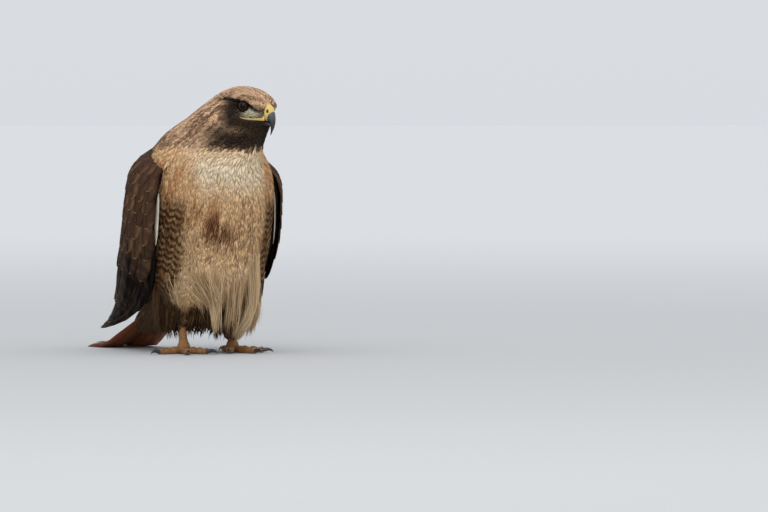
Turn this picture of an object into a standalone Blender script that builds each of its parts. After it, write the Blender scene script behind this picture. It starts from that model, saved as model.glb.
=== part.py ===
"""A red-tailed hawk standing on a floor, life size, with its head turned to its left.

Metres, +Z up. The bird faces -Y and its left side is +X. The floor is at Z = 0.
Every length below is measured on the standing bird, with its head straight ahead
before the neck turns it.
"""

import math
from collections import namedtuple

import bmesh
import bpy
import numpy as np
from mathutils import Matrix, Vector

# Driving dimensions
GAP = 0.0003
HEAD_TURN = math.radians(25)
NECK_PIVOT_Y = -0.050
EYE_Y = -0.0915
EYE_Z = 0.321
EYE_X = 0.0185
EYE_RADIUS = 0.0093
EYE_LATERAL = math.radians(62)
LID_RADIUS = 0.0068
LID_THICKNESS = 0.0012
SOCKET_LEVEL = 0.0058
FOOT_X = 0.036
SHANK_RADIUS = 0.0052
TOE_RADIUS = 0.0048
CLAW_RADIUS = 0.0027
TAIL_TIP_Y = 0.290
TAIL_FEATHER_WIDTH = 0.030
FLOOR = 0.0

# One cross-section of a rounded form, seen from the side: its throat-side and back-side
# ends, half its width, how far up from the throat side it is widest, and how much of the
# head's turn it takes.
Section = namedtuple("Section", "front back half_width waist turn x")


def section(front, back, half_width, waist=0.5, turn=0.0, x=0.0):
    return Section(front, back, half_width, waist, turn, x)


# From the bill over the crown, down the neck and breast to the tail's root.
BODY = [
    section((-0.1150, 0.3025), (-0.1180, 0.3260), 0.0110, turn=1.0),
    section((-0.1100, 0.2950), (-0.1145, 0.3345), 0.0205, turn=1.0),
    section((-0.1060, 0.2865), (-0.1040, 0.3410), 0.0265, turn=1.0),
    section((-0.1040, 0.2795), (-0.0880, 0.3455), 0.0292, turn=1.0),
    section((-0.1035, 0.2740), (-0.0680, 0.3465), 0.0315, turn=1.0),
    section((-0.1030, 0.2700), (-0.0460, 0.3395), 0.0345, turn=1.0),
    section((-0.1025, 0.2655), (-0.0240, 0.3260), 0.0390, 0.55, turn=0.9),
    section((-0.1010, 0.2590), (0.0020, 0.3095), 0.0460, 0.60, turn=0.65),
    section((-0.1000, 0.2515), (0.0310, 0.2900), 0.0570, 0.62, turn=0.35),
    section((-0.0990, 0.2430), (0.0540, 0.2690), 0.0700, 0.62, turn=0.12),
    section((-0.0985, 0.2280), (0.0740, 0.2430), 0.0800, 0.60),
    section((-0.0960, 0.2000), (0.0930, 0.2080), 0.0850, 0.56),
    section((-0.0885, 0.1610), (0.1060, 0.1660), 0.0850, 0.53),
    section((-0.0790, 0.1200), (0.1170, 0.1280), 0.0820, 0.52),
    section((-0.0640, 0.0820), (0.1250, 0.1020), 0.0730, 0.52),
    section((-0.0380, 0.0520), (0.1310, 0.0860), 0.0590, 0.52),
    section((0.0160, 0.0380), (0.1360, 0.0770), 0.0450, 0.52),
    section((0.0760, 0.0360), (0.1420, 0.0700), 0.0330, 0.50),
]
HEAD_END = 5.45
NECK_END = 8.5
BODY_END = len(BODY) - 1.0

# The rump and tail coverts, from the torso's end to where the tail shows.
COVERTS = [
    section((0.0760, 0.0360), (0.1420, 0.0700), 0.0330, 0.50),
    section((0.1120, 0.0270), (0.1620, 0.0560), 0.0290, 0.50),
    section((0.1450, 0.0180), (0.1800, 0.0430), 0.0250, 0.45),
    section((0.1700, 0.0140), (0.1900, 0.0320), 0.0190, 0.45),
]

# The upper half of the bill: cere and hook. It starts inside the face.
UPPER_BILL = [
    section((-0.1040, 0.3035), (-0.1050, 0.3240), 0.0082),
    section((-0.1130, 0.3030), (-0.1140, 0.3242), 0.0082),
    section((-0.1160, 0.3022), (-0.1190, 0.3228), 0.0076),
    section((-0.1184, 0.3012), (-0.1220, 0.3203), 0.0069),
    section((-0.1202, 0.3000), (-0.1250, 0.3158), 0.0060),
    section((-0.1212, 0.2980), (-0.1270, 0.3095), 0.0050),
    section((-0.1218, 0.2945), (-0.1276, 0.3020), 0.0039),
    section((-0.1218, 0.2905), (-0.1262, 0.2945), 0.0027),
    section((-0.1212, 0.2868), (-0.1236, 0.2885), 0.0015),
    section((-0.1204, 0.2838), (-0.1211, 0.2836), 0.0005),
]
CERE_END = 4.0
LOWER_BILL = [
    section((-0.1000, 0.2950), (-0.1000, 0.3050), 0.0074),
    section((-0.1100, 0.2955), (-0.1105, 0.3045), 0.0066),
    section((-0.1160, 0.2963), (-0.1165, 0.3035), 0.0056),
    section((-0.1195, 0.2974), (-0.1198, 0.3020), 0.0040),
    section((-0.1212, 0.2984), (-0.1213, 0.3008), 0.0015),
]
# The corner of the mouth to the bill, on the side of the head, as Y and Z.
MOUTH = [(-0.0940, 0.3066), (-0.0985, 0.3053), (-0.1045, 0.3042), (-0.1120, 0.3034), (-0.1165, 0.3030)]
MOUTH_EDGE = 0.0011

# The feathered thigh, at the bird's left. The right one is drawn up, and bares more shank.
THIGH = [
    section((-0.0380, 0.1500), (0.0300, 0.1500), 0.0230, x=0.0360),
    section((-0.0500, 0.1200), (0.0400, 0.1200), 0.0320, x=0.0400),
    section((-0.0510, 0.0850), (0.0400, 0.0830), 0.0290, x=0.0410),
    section((-0.0420, 0.0580), (0.0330, 0.0550), 0.0240, x=0.0410),
    section((-0.0280, 0.0400), (0.0250, 0.0380), 0.0170, x=0.0395),
    section((-0.0170, 0.0270), (0.0170, 0.0255), 0.0112, x=0.0375),
    section((-0.0110, 0.0170), (0.0115, 0.0160), 0.0075, x=0.0365),
]
THIGH_TOP = 0.150
THIGH_LENGTH = {"left": 1.0, "right": 0.83}

# The folded left wing's outer face, from the shoulder to the wingtip. Each row runs from
# the wing's front or lower edge over its widest place to the ridge along the back.
WING = [
    [(0.052, -0.012, 0.261), (0.053, 0.022, 0.276), (0.010, 0.050, 0.287)],
    [(0.083, -0.023, 0.224), (0.089, 0.030, 0.241), (0.008, 0.089, 0.249)],
    [(0.090, -0.022, 0.178), (0.093, 0.045, 0.192), (0.006, 0.112, 0.200)],
    [(0.088, -0.014, 0.128), (0.092, 0.058, 0.148), (0.006, 0.128, 0.158)],
    [(0.080, 0.012, 0.082), (0.082, 0.092, 0.108), (0.007, 0.144, 0.122)],
    [(0.062, 0.082, 0.050), (0.060, 0.140, 0.076), (0.008, 0.172, 0.091)],
    [(0.042, 0.172, 0.033), (0.036, 0.202, 0.051), (0.008, 0.214, 0.062)],
    [(0.027, 0.252, 0.021), (0.019, 0.262, 0.030), (0.006, 0.262, 0.036)],
]
WING_ROOT_END = 4.95
WING_SKIN = 0.011
MIDLINE = 0.0008

# A tier of feathers lying over the wing: how many, where their roots and tips lie along
# the wing, where they lie across it, how wide they are, and how high over its face.
Tier = namedtuple("Tier", "count root tip across width lift layer taper")
TIERS = {
    "primaries": Tier(7, (2.5, 2.9), (6.95, 5.7), (0.00, 0.17), 0.030, -0.0015, 0.0008, 0.80),
    "secondaries": Tier(8, (2.5, 2.1), (5.35, 5.15), (0.14, 0.90), 0.040, 0.0010, 0.0000, 0.85),
    "greater_coverts": Tier(7, (1.5, 1.4), (3.55, 3.45), (0.02, 0.84), 0.030, 0.0034, 0.0, 0.9),
    "median_coverts": Tier(6, (0.9, 0.8), (2.45, 2.30), (0.03, 0.78), 0.026, 0.0052, 0.0, 0.9),
    "scapulars": Tier(5, (0.5, 0.3), (3.30, 3.75), (0.58, 0.80), 0.034, 0.0068, 0.0, 0.9),
}
VANE_THICKNESS = 0.0017
VANE_ROOT = 0.0030
VANE_STEP = 0.0012
VANE_SLOPE = 0.0040
VANE_OUTLINE = [(0.0, 0.5), (0.40, 0.95), (0.80, 0.95), (0.94, 0.7), (1.0, 0.3)]

TAIL_PAIRS = 6
TAIL_LAYER = 0.00085
TAIL_FAN = math.radians(1.1)
TAIL_ROOT_Y = 0.112
TAIL_CURVE = [(0.0520, 0.0), (0.0250, 0.35), (-0.0012, 0.72), (-0.0012, 1.0)]

# Toe name: heading from straight ahead, turned outwards, length, and its place on the foot.
TOES = {
    "left": {"outer": (52, 0.036), "middle": (8, 0.045), "inner": (-34, 0.033), "hind": (172, 0.026)},
    "right": {"outer": (78, 0.037), "middle": (22, 0.045), "inner": (-24, 0.034), "hind": (186, 0.026)},
}
CLAW_LENGTH = {"outer": 0.017, "middle": 0.020, "inner": 0.022, "hind": 0.023}
FOOT_PAD_RADIUS = 0.0095

MATERIALS = {
    "plumage": ((0.30, 0.19, 0.12), 0.85, 0.0),
    "breast": ((0.62, 0.45, 0.29), 0.85, 0.0),
    "flight": ((0.10, 0.07, 0.05), 0.6, 0.0),
    "rufous_tail": ((0.36, 0.14, 0.06), 0.65, 0.0),
    "thigh": ((0.50, 0.36, 0.22), 0.85, 0.0),
    "cere": ((0.75, 0.58, 0.10), 0.45, 0.0),
    "horn": ((0.05, 0.055, 0.065), 0.35, 0.0),
    "scaled_skin": ((0.62, 0.38, 0.07), 0.5, 0.0),
    "eye": ((0.05, 0.03, 0.02), 0.05, 0.0),
}


def remove_startup_objects():
    for obj in list(bpy.data.objects):
        bpy.data.objects.remove(obj)


def material(name):
    found = bpy.data.materials.get(name)
    if found:
        return found
    colour, roughness, metallic = MATERIALS[name]
    made = bpy.data.materials.new(name)
    made.use_nodes = True
    shader = made.node_tree.nodes["Principled BSDF"]
    shader.inputs["Base Color"].default_value = (*colour, 1.0)
    shader.inputs["Roughness"].default_value = roughness
    shader.inputs["Metallic"].default_value = metallic
    made.diffuse_color = (*colour, 1.0)
    return made


def along(rows, place):
    """The smooth curve through the rows of numbers, at a place counted in rows."""
    rows = np.asarray(rows, float)
    last = len(rows) - 1
    i = int(min(max(math.floor(place), 0), last - 1))
    t = place - i
    before, here, there, after = (rows[min(max(j, 0), last)] for j in (i - 1, i, i + 1, i + 2))
    return 0.5 * (
        2 * here
        + (there - before) * t
        + (2 * before - 5 * here + 4 * there - after) * t**2
        + (3 * here - before - 3 * there + after) * t**3
    )


def section_at(sections, place):
    numbers = along([[*s.front, *s.back, *s[2:]] for s in sections], place)
    return Section(tuple(numbers[:2]), tuple(numbers[2:4]), *numbers[4:])


def turned(point, share):
    """A point of the head or neck, carried round by its share of the head's turn."""
    pivot = Vector((0, NECK_PIVOT_Y, 0))
    return pivot + Matrix.Rotation(HEAD_TURN * share, 3, "Z") @ (Vector(point) - pivot)


def ring(cut, around, relief=None):
    """The points round one section, from the middle of the back by way of the left side."""
    front, back = Vector((0, *cut.front)), Vector((0, *cut.back))
    up = (back - front).normalized()
    centre = front.lerp(back, cut.waist)
    centre.x += cut.x
    points = []
    for k in range(around):
        angle = 2 * math.pi * k / around
        reach = (back - front).length * ((1 - cut.waist) if math.cos(angle) > 0 else cut.waist)
        point = centre + up * reach * math.cos(angle)
        point.x += cut.half_width * math.sin(angle)
        if relief:
            point = relief(point, (point - centre).normalized())
        points.append(turned(point, cut.turn))
    return points


def moved_ring(one, onward_ring, distance):
    """A flat ring moved square to itself, towards the next ring where distance is positive."""
    quarter = len(one) // 4
    square = (one[quarter] - one[0]).cross(one[2 * quarter] - one[0]).normalized()
    toward = sum(onward_ring, Vector()) / len(onward_ring) - sum(one, Vector()) / len(one)
    if square.dot(toward) < 0:
        square.negate()
    return [p + square * distance for p in one]


def mesh_object(name, points, faces, look):
    mesh = bpy.data.meshes.new(name)
    mesh.from_pydata([tuple(p) for p in points], [], faces)
    mesh.validate()
    shell = bmesh.new()
    shell.from_mesh(mesh)
    bmesh.ops.recalc_face_normals(shell, faces=shell.faces)
    bmesh.ops.triangulate(shell, faces=[f for f in shell.faces if len(f.verts) > 4])
    shell.to_mesh(mesh)
    shell.free()
    obj = bpy.data.objects.new(name, mesh)
    bpy.context.scene.collection.objects.link(obj)
    mesh.materials.append(material(look))
    return obj


def loft(name, rings, look):
    """A closed body through rings of equally many points, with flat ends."""
    around = len(rings[0])
    points = [p for one in rings for p in one]
    faces = [tuple(reversed(range(around)))]
    for i in range(len(rings) - 1):
        for k in range(around):
            n = (k + 1) % around
            a, b = i * around, (i + 1) * around
            faces.append((a + k, a + n, b + n, b + k))
    faces.append(tuple(range((len(rings) - 1) * around, len(rings) * around)))
    return mesh_object(name, points, faces, look)


def tube(name, sections, places, around, look, relief=None, start_shift=0.0):
    """A rounded form through sections, its start moved onward to clear its neighbour."""
    rings = [ring(section_at(sections, place), around, relief) for place in places]
    rings[0] = moved_ring(rings[0], rings[1], start_shift)
    return loft(name, rings, look)


def grown(obj, distance=GAP):
    """The same form made larger all round, to cut a neighbour clear of it."""
    shell = bmesh.new()
    shell.from_mesh(obj.data)
    moves = [v.normal * distance * v.calc_shell_factor() for v in shell.verts]
    for vert, move in zip(shell.verts, moves):
        vert.co += move
    shell.to_mesh(obj.data)
    shell.free()
    return obj


def steps(first, last, count):
    return [first + (last - first) * i / count for i in range(count + 1)]


def combine(obj, others, operation, solver="EXACT"):
    """One Boolean on a collection, applied, with the collection's objects then removed."""
    group = bpy.data.collections.new(obj.name + "_tools")
    for other in others:
        group.objects.link(other)
    modifier = obj.modifiers.new("combine", "BOOLEAN")
    modifier.operation = operation
    modifier.operand_type = "COLLECTION"
    modifier.collection = group
    modifier.solver = solver
    bpy.context.view_layer.update()
    made = bpy.data.meshes.new_from_object(obj.evaluated_get(bpy.context.evaluated_depsgraph_get()))
    obj.modifiers.clear()
    obj.data = made
    bpy.data.collections.remove(group)
    for other in others:
        bpy.data.objects.remove(other)
    return obj


def keep_largest(obj):
    """Drops every closed surface but the one of greatest volume, and joins its flat faces."""
    shell = bmesh.new()
    shell.from_mesh(obj.data)
    waiting, islands = set(shell.faces), []
    while waiting:
        island, edge = set(), [waiting.pop()]
        while edge:
            face = edge.pop()
            island.add(face)
            near = {f for e in face.edges for f in e.link_faces} & waiting
            waiting -= near
            edge.extend(near)
        islands.append(island)

    def volume(island):
        total = 0.0
        for face in island:
            a = face.verts[0].co
            for b, c in zip(face.verts[1:], face.verts[2:]):
                total += a.dot(b.co.cross(c.co)) / 6
        return total

    islands.sort(key=volume, reverse=True)
    scraps = [f for island in islands[1:] for f in island]
    bmesh.ops.delete(shell, geom=scraps, context="FACES")
    flat = math.radians(2)
    bmesh.ops.dissolve_limit(shell, angle_limit=flat, verts=shell.verts, edges=shell.edges)
    bmesh.ops.triangulate(shell, faces=shell.faces)
    shell.to_mesh(obj.data)
    shell.free()
    return obj


def smooth(obj, degrees=38):
    obj.data.shade_smooth()
    obj.data.set_sharp_from_angle(angle=math.radians(degrees))
    return obj


# The head

def swell(point, centre, reach, height):
    """How far a soft mound or hollow lifts the surface at a point."""
    away = (point - Vector(centre)).length / reach
    return height * math.exp(-away * away)


def face_relief(point, outward):
    """Flat eye sockets under jutting brows, full cheeks and hollow lores."""
    side = math.copysign(1, point.x)
    place = Vector((abs(point.x), point.y, point.z))
    lift = swell(place, (0.0262, EYE_Y - 0.001, EYE_Z + 0.0115), 0.0075, 0.0042)
    lift += swell(place, (0.0225, EYE_Y - 0.011, EYE_Z + 0.0085), 0.0065, 0.0034)
    lift += swell(place, (0.0180, EYE_Y - 0.020, EYE_Z + 0.0030), 0.0065, 0.0030)
    lift += swell(place, (0.0270, EYE_Y + 0.012, EYE_Z - 0.016), 0.0120, 0.0015)
    lift += swell(place, (0.0175, EYE_Y - 0.016, EYE_Z - 0.005), 0.0055, -0.0022)
    point = point + outward * lift
    axis = eye_axis(side)
    reach = point - Vector((EYE_X * side, EYE_Y, EYE_Z))
    height = reach.dot(axis)
    away = (reach - axis * height).length
    if height > 0:
        share = min(max((0.0130 - away) / 0.0050, 0.0), 1.0)
        point = point + axis * (SOCKET_LEVEL - height) * share * share * (3 - 2 * share)
    return point


def eye_axis(side):
    lateral = math.sin(EYE_LATERAL) * side
    return Vector((lateral, -math.cos(EYE_LATERAL), 0.03)).normalized()


def eyeball(name, side, radius, look):
    shell = bmesh.new()
    bmesh.ops.create_uvsphere(shell, u_segments=16, v_segments=10, radius=radius)
    facing = eye_axis(side).to_track_quat("Z", "Y").to_matrix().to_4x4()
    place = Matrix.Translation((EYE_X * side, EYE_Y, EYE_Z)) @ facing
    bmesh.ops.transform(shell, matrix=place, verts=shell.verts)
    for vert in shell.verts:
        vert.co = turned(vert.co, 1.0)
    mesh = bpy.data.meshes.new(name)
    shell.to_mesh(mesh)
    shell.free()
    mesh.materials.append(material(look))
    obj = bpy.data.objects.new(name, mesh)
    bpy.context.scene.collection.objects.link(obj)
    return obj


def eyelid(side, around=18, round_tube=6):
    """The raised rim of the lids, a ring that lies on the eyeball."""
    axis = eye_axis(side)
    across = axis.cross(Vector((0, 0, 1))).normalized()
    up = across.cross(axis)
    height = math.sqrt(EYE_RADIUS**2 - LID_RADIUS**2) + 0.0003
    middle = Vector((EYE_X * side, EYE_Y, EYE_Z)) + axis * height
    points, faces = [], []
    for i in range(around):
        a = 2 * math.pi * i / around
        out = across * math.cos(a) + up * math.sin(a)
        for k in range(round_tube):
            b = 2 * math.pi * k / round_tube
            reach = LID_RADIUS + 0.0006 + LID_THICKNESS * math.cos(b)
            points.append(turned(middle + out * reach + axis * LID_THICKNESS * math.sin(b), 1.0))
            i2, k2 = (i + 1) % around, (k + 1) % round_tube
            faces.append((i * round_tube + k, i2 * round_tube + k, i2 * round_tube + k2, i * round_tube + k2))
    return mesh_object("lid", points, faces, "plumage")


HEAD_PLACES = steps(0.0, 3.0, 9) + steps(3.0, 5.0, 5)[1:] + [HEAD_END]


def head_form(name):
    return tube(name, BODY, HEAD_PLACES, 36, "plumage", face_relief)


def mouth_edge(head, side):
    """The swollen edge of the mouth, laid along the side of the head."""
    inward = turned((-side, 0, 0), 1.0) - turned((0, 0, 0), 1.0)
    path = []
    for y, z in MOUTH:
        found, spot, _, _ = head.ray_cast(turned((0.06 * side, y, z), 1.0), inward)
        path.append(spot if found else turned((0.008 * side, y, z), 1.0))
    radii = [MOUTH_EDGE * size for size in (0.5, 1.0, 1.1, 1.1, 1.0)]
    return bent_rod("mouth", path, Vector((0, 0, 1)), radii, 6, "cere")


def make_head():
    head = head_form("head")
    bpy.context.view_layer.update()
    parts = [eyelid(1), eyelid(-1), mouth_edge(head, 1), mouth_edge(head, -1)]
    combine(head, parts, "UNION")
    sockets = [eyeball("socket", side, EYE_RADIUS + GAP, "eye") for side in (1, -1)]
    combine(head, sockets, "DIFFERENCE")
    smooth(keep_largest(head))
    smooth(eyeball("eye_left", 1, EYE_RADIUS, "eye"))
    smooth(eyeball("eye_right", -1, EYE_RADIUS, "eye"))


def nostril(side):
    shell = bmesh.new()
    bmesh.ops.create_icosphere(shell, subdivisions=2, radius=0.0013)
    stretch = Matrix.Diagonal((1.0, 1.0, 1.4, 1.0))
    place = Matrix.Translation((0.0074 * side, -0.1175, 0.3140))
    bmesh.ops.transform(shell, matrix=place @ stretch, verts=shell.verts)
    for vert in shell.verts:
        vert.co = turned(vert.co, 1.0)
    mesh = bpy.data.meshes.new("nostril")
    shell.to_mesh(mesh)
    shell.free()
    obj = bpy.data.objects.new("nostril", mesh)
    bpy.context.scene.collection.objects.link(obj)
    return obj


def make_bill():
    upper = [s._replace(turn=1.0) for s in UPPER_BILL]
    lower = [s._replace(turn=1.0) for s in LOWER_BILL]
    cere = tube("cere", upper, steps(0.0, CERE_END, 5), 16, "cere")
    combine(cere, [grown(head_form("face")), nostril(1), nostril(-1)], "DIFFERENCE")
    smooth(keep_largest(cere))
    hook = tube("bill_upper", upper, steps(CERE_END, 9.0, 10), 16, "horn", start_shift=GAP)
    smooth(hook)
    jaw = tube("bill_lower", lower, steps(0.0, 4.0, 6), 14, "horn")
    whole_upper = tube("upper", upper, steps(0.0, 9.0, 15), 16, "horn")
    combine(jaw, [grown(head_form("face")), grown(whole_upper)], "DIFFERENCE")
    smooth(keep_largest(jaw))


# The neck, torso and thighs

TORSO_PLACES = steps(NECK_END, 12.0, 6) + steps(12.0, BODY_END, 8)[1:]


def neck_form(name):
    return tube(name, BODY, steps(HEAD_END, NECK_END, 5), 28, "plumage", start_shift=GAP)


def torso_form(name):
    return tube(name, BODY, TORSO_PLACES, 32, "breast", start_shift=GAP)


def thigh_form(name, side, side_name):
    length = THIGH_LENGTH[side_name]
    sections = []
    for cut in THIGH:
        ends = [(y, THIGH_TOP + (z - THIGH_TOP) * length) for y, z in (cut.front, cut.back)]
        sections.append(cut._replace(front=ends[0], back=ends[1], x=cut.x * side))
    return tube(name, sections, steps(0.0, len(THIGH) - 1.0, 8), 16, "thigh")


def make_thigh(side, side_name):
    thigh = thigh_form("thigh_" + side_name, side, side_name)
    combine(thigh, [grown(torso_form("body"))], "DIFFERENCE")
    smooth(keep_largest(thigh))


# The wings

def wing_face(place, across, lift=0.0):
    """A point over the left wing's outer face: along it, across it, and how high above."""

    def on_face(s, t):
        edge, flank, ridge = along(np.reshape(WING, (len(WING), 9)), s).reshape(3, 3)
        return edge * (1 - t) * (1 - 2 * t) + flank * 4 * t * (1 - t) + ridge * t * (2 * t - 1)

    nudge = 0.01
    here = on_face(place, across)
    down = on_face(place + nudge, across) - on_face(place - nudge, across)
    over = on_face(place, across + nudge) - on_face(place, across - nudge)
    normal = np.cross(down, over)
    normal /= np.linalg.norm(normal)
    return here + normal * lift, np.linalg.norm(over) / (2 * nudge)


def plate(name, upper, lower, look):
    """A closed thin body between two grids of points, split alike on both faces."""
    rows, columns = len(upper), len(upper[0])
    points = [p for row in upper for p in row] + [p for row in lower for p in row]
    under = rows * columns
    faces = []
    for i in range(rows - 1):
        for k in range(columns - 1):
            a, b = i * columns + k, i * columns + k + 1
            c, d = a + columns + 1, a + columns
            faces += [(a, b, c), (a, c, d)]
            faces += [(under + c, under + b, under + a), (under + d, under + c, under + a)]
    rim = [i * columns for i in range(rows)]
    rim += [(rows - 1) * columns + k for k in range(1, columns)]
    rim += [i * columns + columns - 1 for i in range(rows - 2, -1, -1)]
    rim += list(range(columns - 2, 0, -1))
    for a, b in zip(rim, rim[1:] + rim[:1]):
        faces += [(a, b, under + b), (a, under + b, under + a)]
    return mesh_object(name, points, faces, look)


def wing_feather(tier, k, side):
    """One vane of a tier. Its ridge side dips, so that the next vane above covers it."""
    share = k / (tier.count - 1)
    root = tier.root[0] + (tier.root[1] - tier.root[0]) * share
    tip = tier.tip[0] + (tier.tip[1] - tier.tip[0]) * share
    low_edge = tier.across[0] + (tier.across[1] - tier.across[0]) * share
    upper, lower = [], []
    for reach, outline in VANE_OUTLINE:
        place = root + (tip - root) * reach
        scale = wing_face(place, low_edge)[1]
        width = tier.width * (1 - (1 - tier.taper) * reach)
        spacing = (tier.across[1] - tier.across[0]) / (tier.count - 1) * scale
        slope = min(VANE_STEP * width / spacing, VANE_SLOPE)
        top_row, bottom_row = [], []
        for c in (0.0, 1.0):
            narrowed = 0.5 + (c - 0.5) * outline
            across = min(low_edge + width * narrowed / max(scale, 0.05), 0.97 + 0.03 * c)
            lift = tier.lift + tier.layer * k - slope * c
            depth = VANE_THICKNESS + VANE_ROOT * (1 - reach) ** 2
            top_row.append(wing_face(place, across, lift)[0])
            bottom_row.append(wing_face(place, across, lift - depth)[0])
        upper.append([Vector((p[0] * side, p[1], p[2])) for p in top_row])
        lower.append([Vector((p[0] * side, p[1], p[2])) for p in bottom_row])
    return plate("vane", upper, lower, "flight")


def wing_core(name, side):
    """The folded arm, its small coverts and the wing's lining, thin where the vanes leave."""
    upper, lower = [], []
    for place in steps(0.0, WING_ROOT_END, 11):
        share = place / WING_ROOT_END
        top = 0.0062 * min(place, 1.0) - 0.0072 * min(share / 0.55, 1.0) ** 2
        depth = WING_SKIN * (1 - 0.70 * share)
        upper_row, lower_row = [], []
        for across in steps(0.0, 0.94, 9):
            inset = 0.0035 * (2 * across - 1) ** 6
            upper_row.append(wing_face(place, across, top - inset)[0])
            under = wing_face(place, across, top - inset - depth)[0]
            lower_row.append((max(under[0], MIDLINE), under[1], under[2]))
        upper.append([Vector((p[0] * side, p[1], p[2])) for p in upper_row])
        lower.append([Vector((p[0] * side, p[1], p[2])) for p in lower_row])
    return plate(name, upper, lower, "flight")


def make_wing(side, side_name):
    wing = wing_core("wing_" + side_name, side)
    vanes = [wing_feather(tier, k, side) for tier in TIERS.values() for k in range(tier.count)]
    combine(wing, vanes, "UNION", "MANIFOLD")
    body = [torso_form("body"), neck_form("ruff"), thigh_form("leg", side, side_name)]
    combine(wing, [grown(form) for form in body], "DIFFERENCE", "MANIFOLD")
    smooth(keep_largest(wing))


# The tail

def tail_height(y):
    """The height of the lowest tail feathers' undersides, flat on the floor at the tip."""
    place = (y - TAIL_ROOT_Y) / (TAIL_TIP_Y - TAIL_ROOT_Y) * (len(TAIL_CURVE) - 1)
    return max(float(along([[z] for z, _ in TAIL_CURVE], place)[0]), FLOOR)


def tail_feather(pair, side):
    """One rectrix. The middle pair lies on top, and each pair outwards lies lower."""
    middle = pair < 2
    layer = (TAIL_PAIRS - pair) + (2 if middle and side > 0 else 1 if middle else 0) - 1
    fan = TAIL_FAN * (pair + 0.5) * side
    length = TAIL_TIP_Y - TAIL_ROOT_Y - 0.0006 * pair**2
    upper, lower = [], []
    for reach, outline in VANE_OUTLINE:
        run = length * reach
        centre_x = (0.004 + 0.0022 * pair) * side + math.sin(fan) * run
        y = TAIL_ROOT_Y + math.cos(fan) * run
        half = TAIL_FEATHER_WIDTH * 0.5 * outline
        top_row, bottom_row = [], []
        for c in (-1.0, 0.0, 1.0):
            bottom = tail_height(y) + TAIL_LAYER * layer
            point = Vector((centre_x + half * c, y, bottom))
            bottom_row.append(point)
            top_row.append(point + Vector((0, 0, 0.0011 if c == 0 else 0.0008)))
        upper.append(top_row)
        lower.append(bottom_row)
    return plate("rectrix", upper, lower, "rufous_tail")


def make_tail():
    tail = tube("tail", COVERTS, steps(0.0, 3.0, 5), 20, "rufous_tail", start_shift=GAP)
    vanes = [tail_feather(pair, side) for pair in range(TAIL_PAIRS) for side in (1, -1)]
    combine(tail, vanes, "UNION", "MANIFOLD")
    combine(tail, [grown(torso_form("body"))], "DIFFERENCE", "MANIFOLD")
    smooth(keep_largest(tail))


# The legs and feet

def bent_rod(name, path, across, radii, around, look):
    """A round rod through points, bent square to across, flat where it meets the floor."""
    rings = []
    path = [Vector(p) for p in path]
    for i, (point, radius) in enumerate(zip(path, radii)):
        onward = (path[min(i + 1, len(path) - 1)] - path[max(i - 1, 0)]).normalized()
        over = across.cross(onward)
        one = []
        for k in range(around):
            a = 2 * math.pi * (k + 0.5) / around
            p = point + across * radius * math.cos(a) + over * radius * math.sin(a)
            p.z = max(p.z, FLOOR)
            one.append(p)
        rings.append(one)
    return loft(name, rings, look)


def shank_form(name, side):
    """The bare shank and the pad that the toes leave from."""
    x = FOOT_X * side
    path = [(0.006, 0.052), (0.003, 0.030), (0.001, 0.018), (0.0, 0.011), (0.0, 0.005), (0.0, FLOOR)]
    radii = [SHANK_RADIUS, SHANK_RADIUS, 0.0056, 0.0082, FOOT_PAD_RADIUS, 0.0080]
    path = [(x, y, z) for y, z in path]
    return bent_rod(name, path, Vector((1, 0, 0)), radii, 14, "scaled_skin")


def make_shank(side, side_name):
    shank = shank_form("shank_" + side_name, side)
    combine(shank, [grown(thigh_form("leg", side, side_name))], "DIFFERENCE")
    smooth(keep_largest(shank), 50)


def toe_heading(side, side_name, toe):
    angle = math.radians(TOES[side_name][toe][0])
    return Vector((math.sin(angle) * side, -math.cos(angle), 0))


def toe_path(side, side_name, toe):
    """The middle line and radii of a toe, fuller over each pad."""
    heading = toe_heading(side, side_name, toe)
    base = Vector((FOOT_X * side, 0, 0))
    pads = 2 if toe == "hind" else 3
    path, radii = [], []
    for share in steps(0.0, 1.0, 9):
        swelling = 0.10 * math.cos(2 * math.pi * pads * share)
        radius = TOE_RADIUS * (1.0 - 0.20 * share) * (1 + swelling)
        run = 0.004 + TOES[side_name][toe][1] * share
        path.append(base + heading * run + Vector((0, 0, radius * 0.86)))
        radii.append(radius)
    path[-2].z = path[-1].z
    return path, radii


def toe_form(name, side, side_name, toe):
    path, radii = toe_path(side, side_name, toe)
    across = toe_heading(side, side_name, toe).cross(Vector((0, 0, 1)))
    return bent_rod(name, path, across, radii, 10, "scaled_skin")


def make_toe(side, side_name, toe):
    made = toe_form("toe_" + side_name + "_" + toe, side, side_name, toe)
    neighbours = [shank_form("pad", side)]
    if toe in ("outer", "inner"):
        neighbours.append(toe_form("beside", side, side_name, "middle"))
    combine(made, [grown(form) for form in neighbours], "DIFFERENCE")
    smooth(keep_largest(made), 50)
    path, radii = toe_path(side, side_name, toe)
    make_claw(side_name, toe, path[-1], toe_heading(side, side_name, toe), radii[-1])


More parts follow.
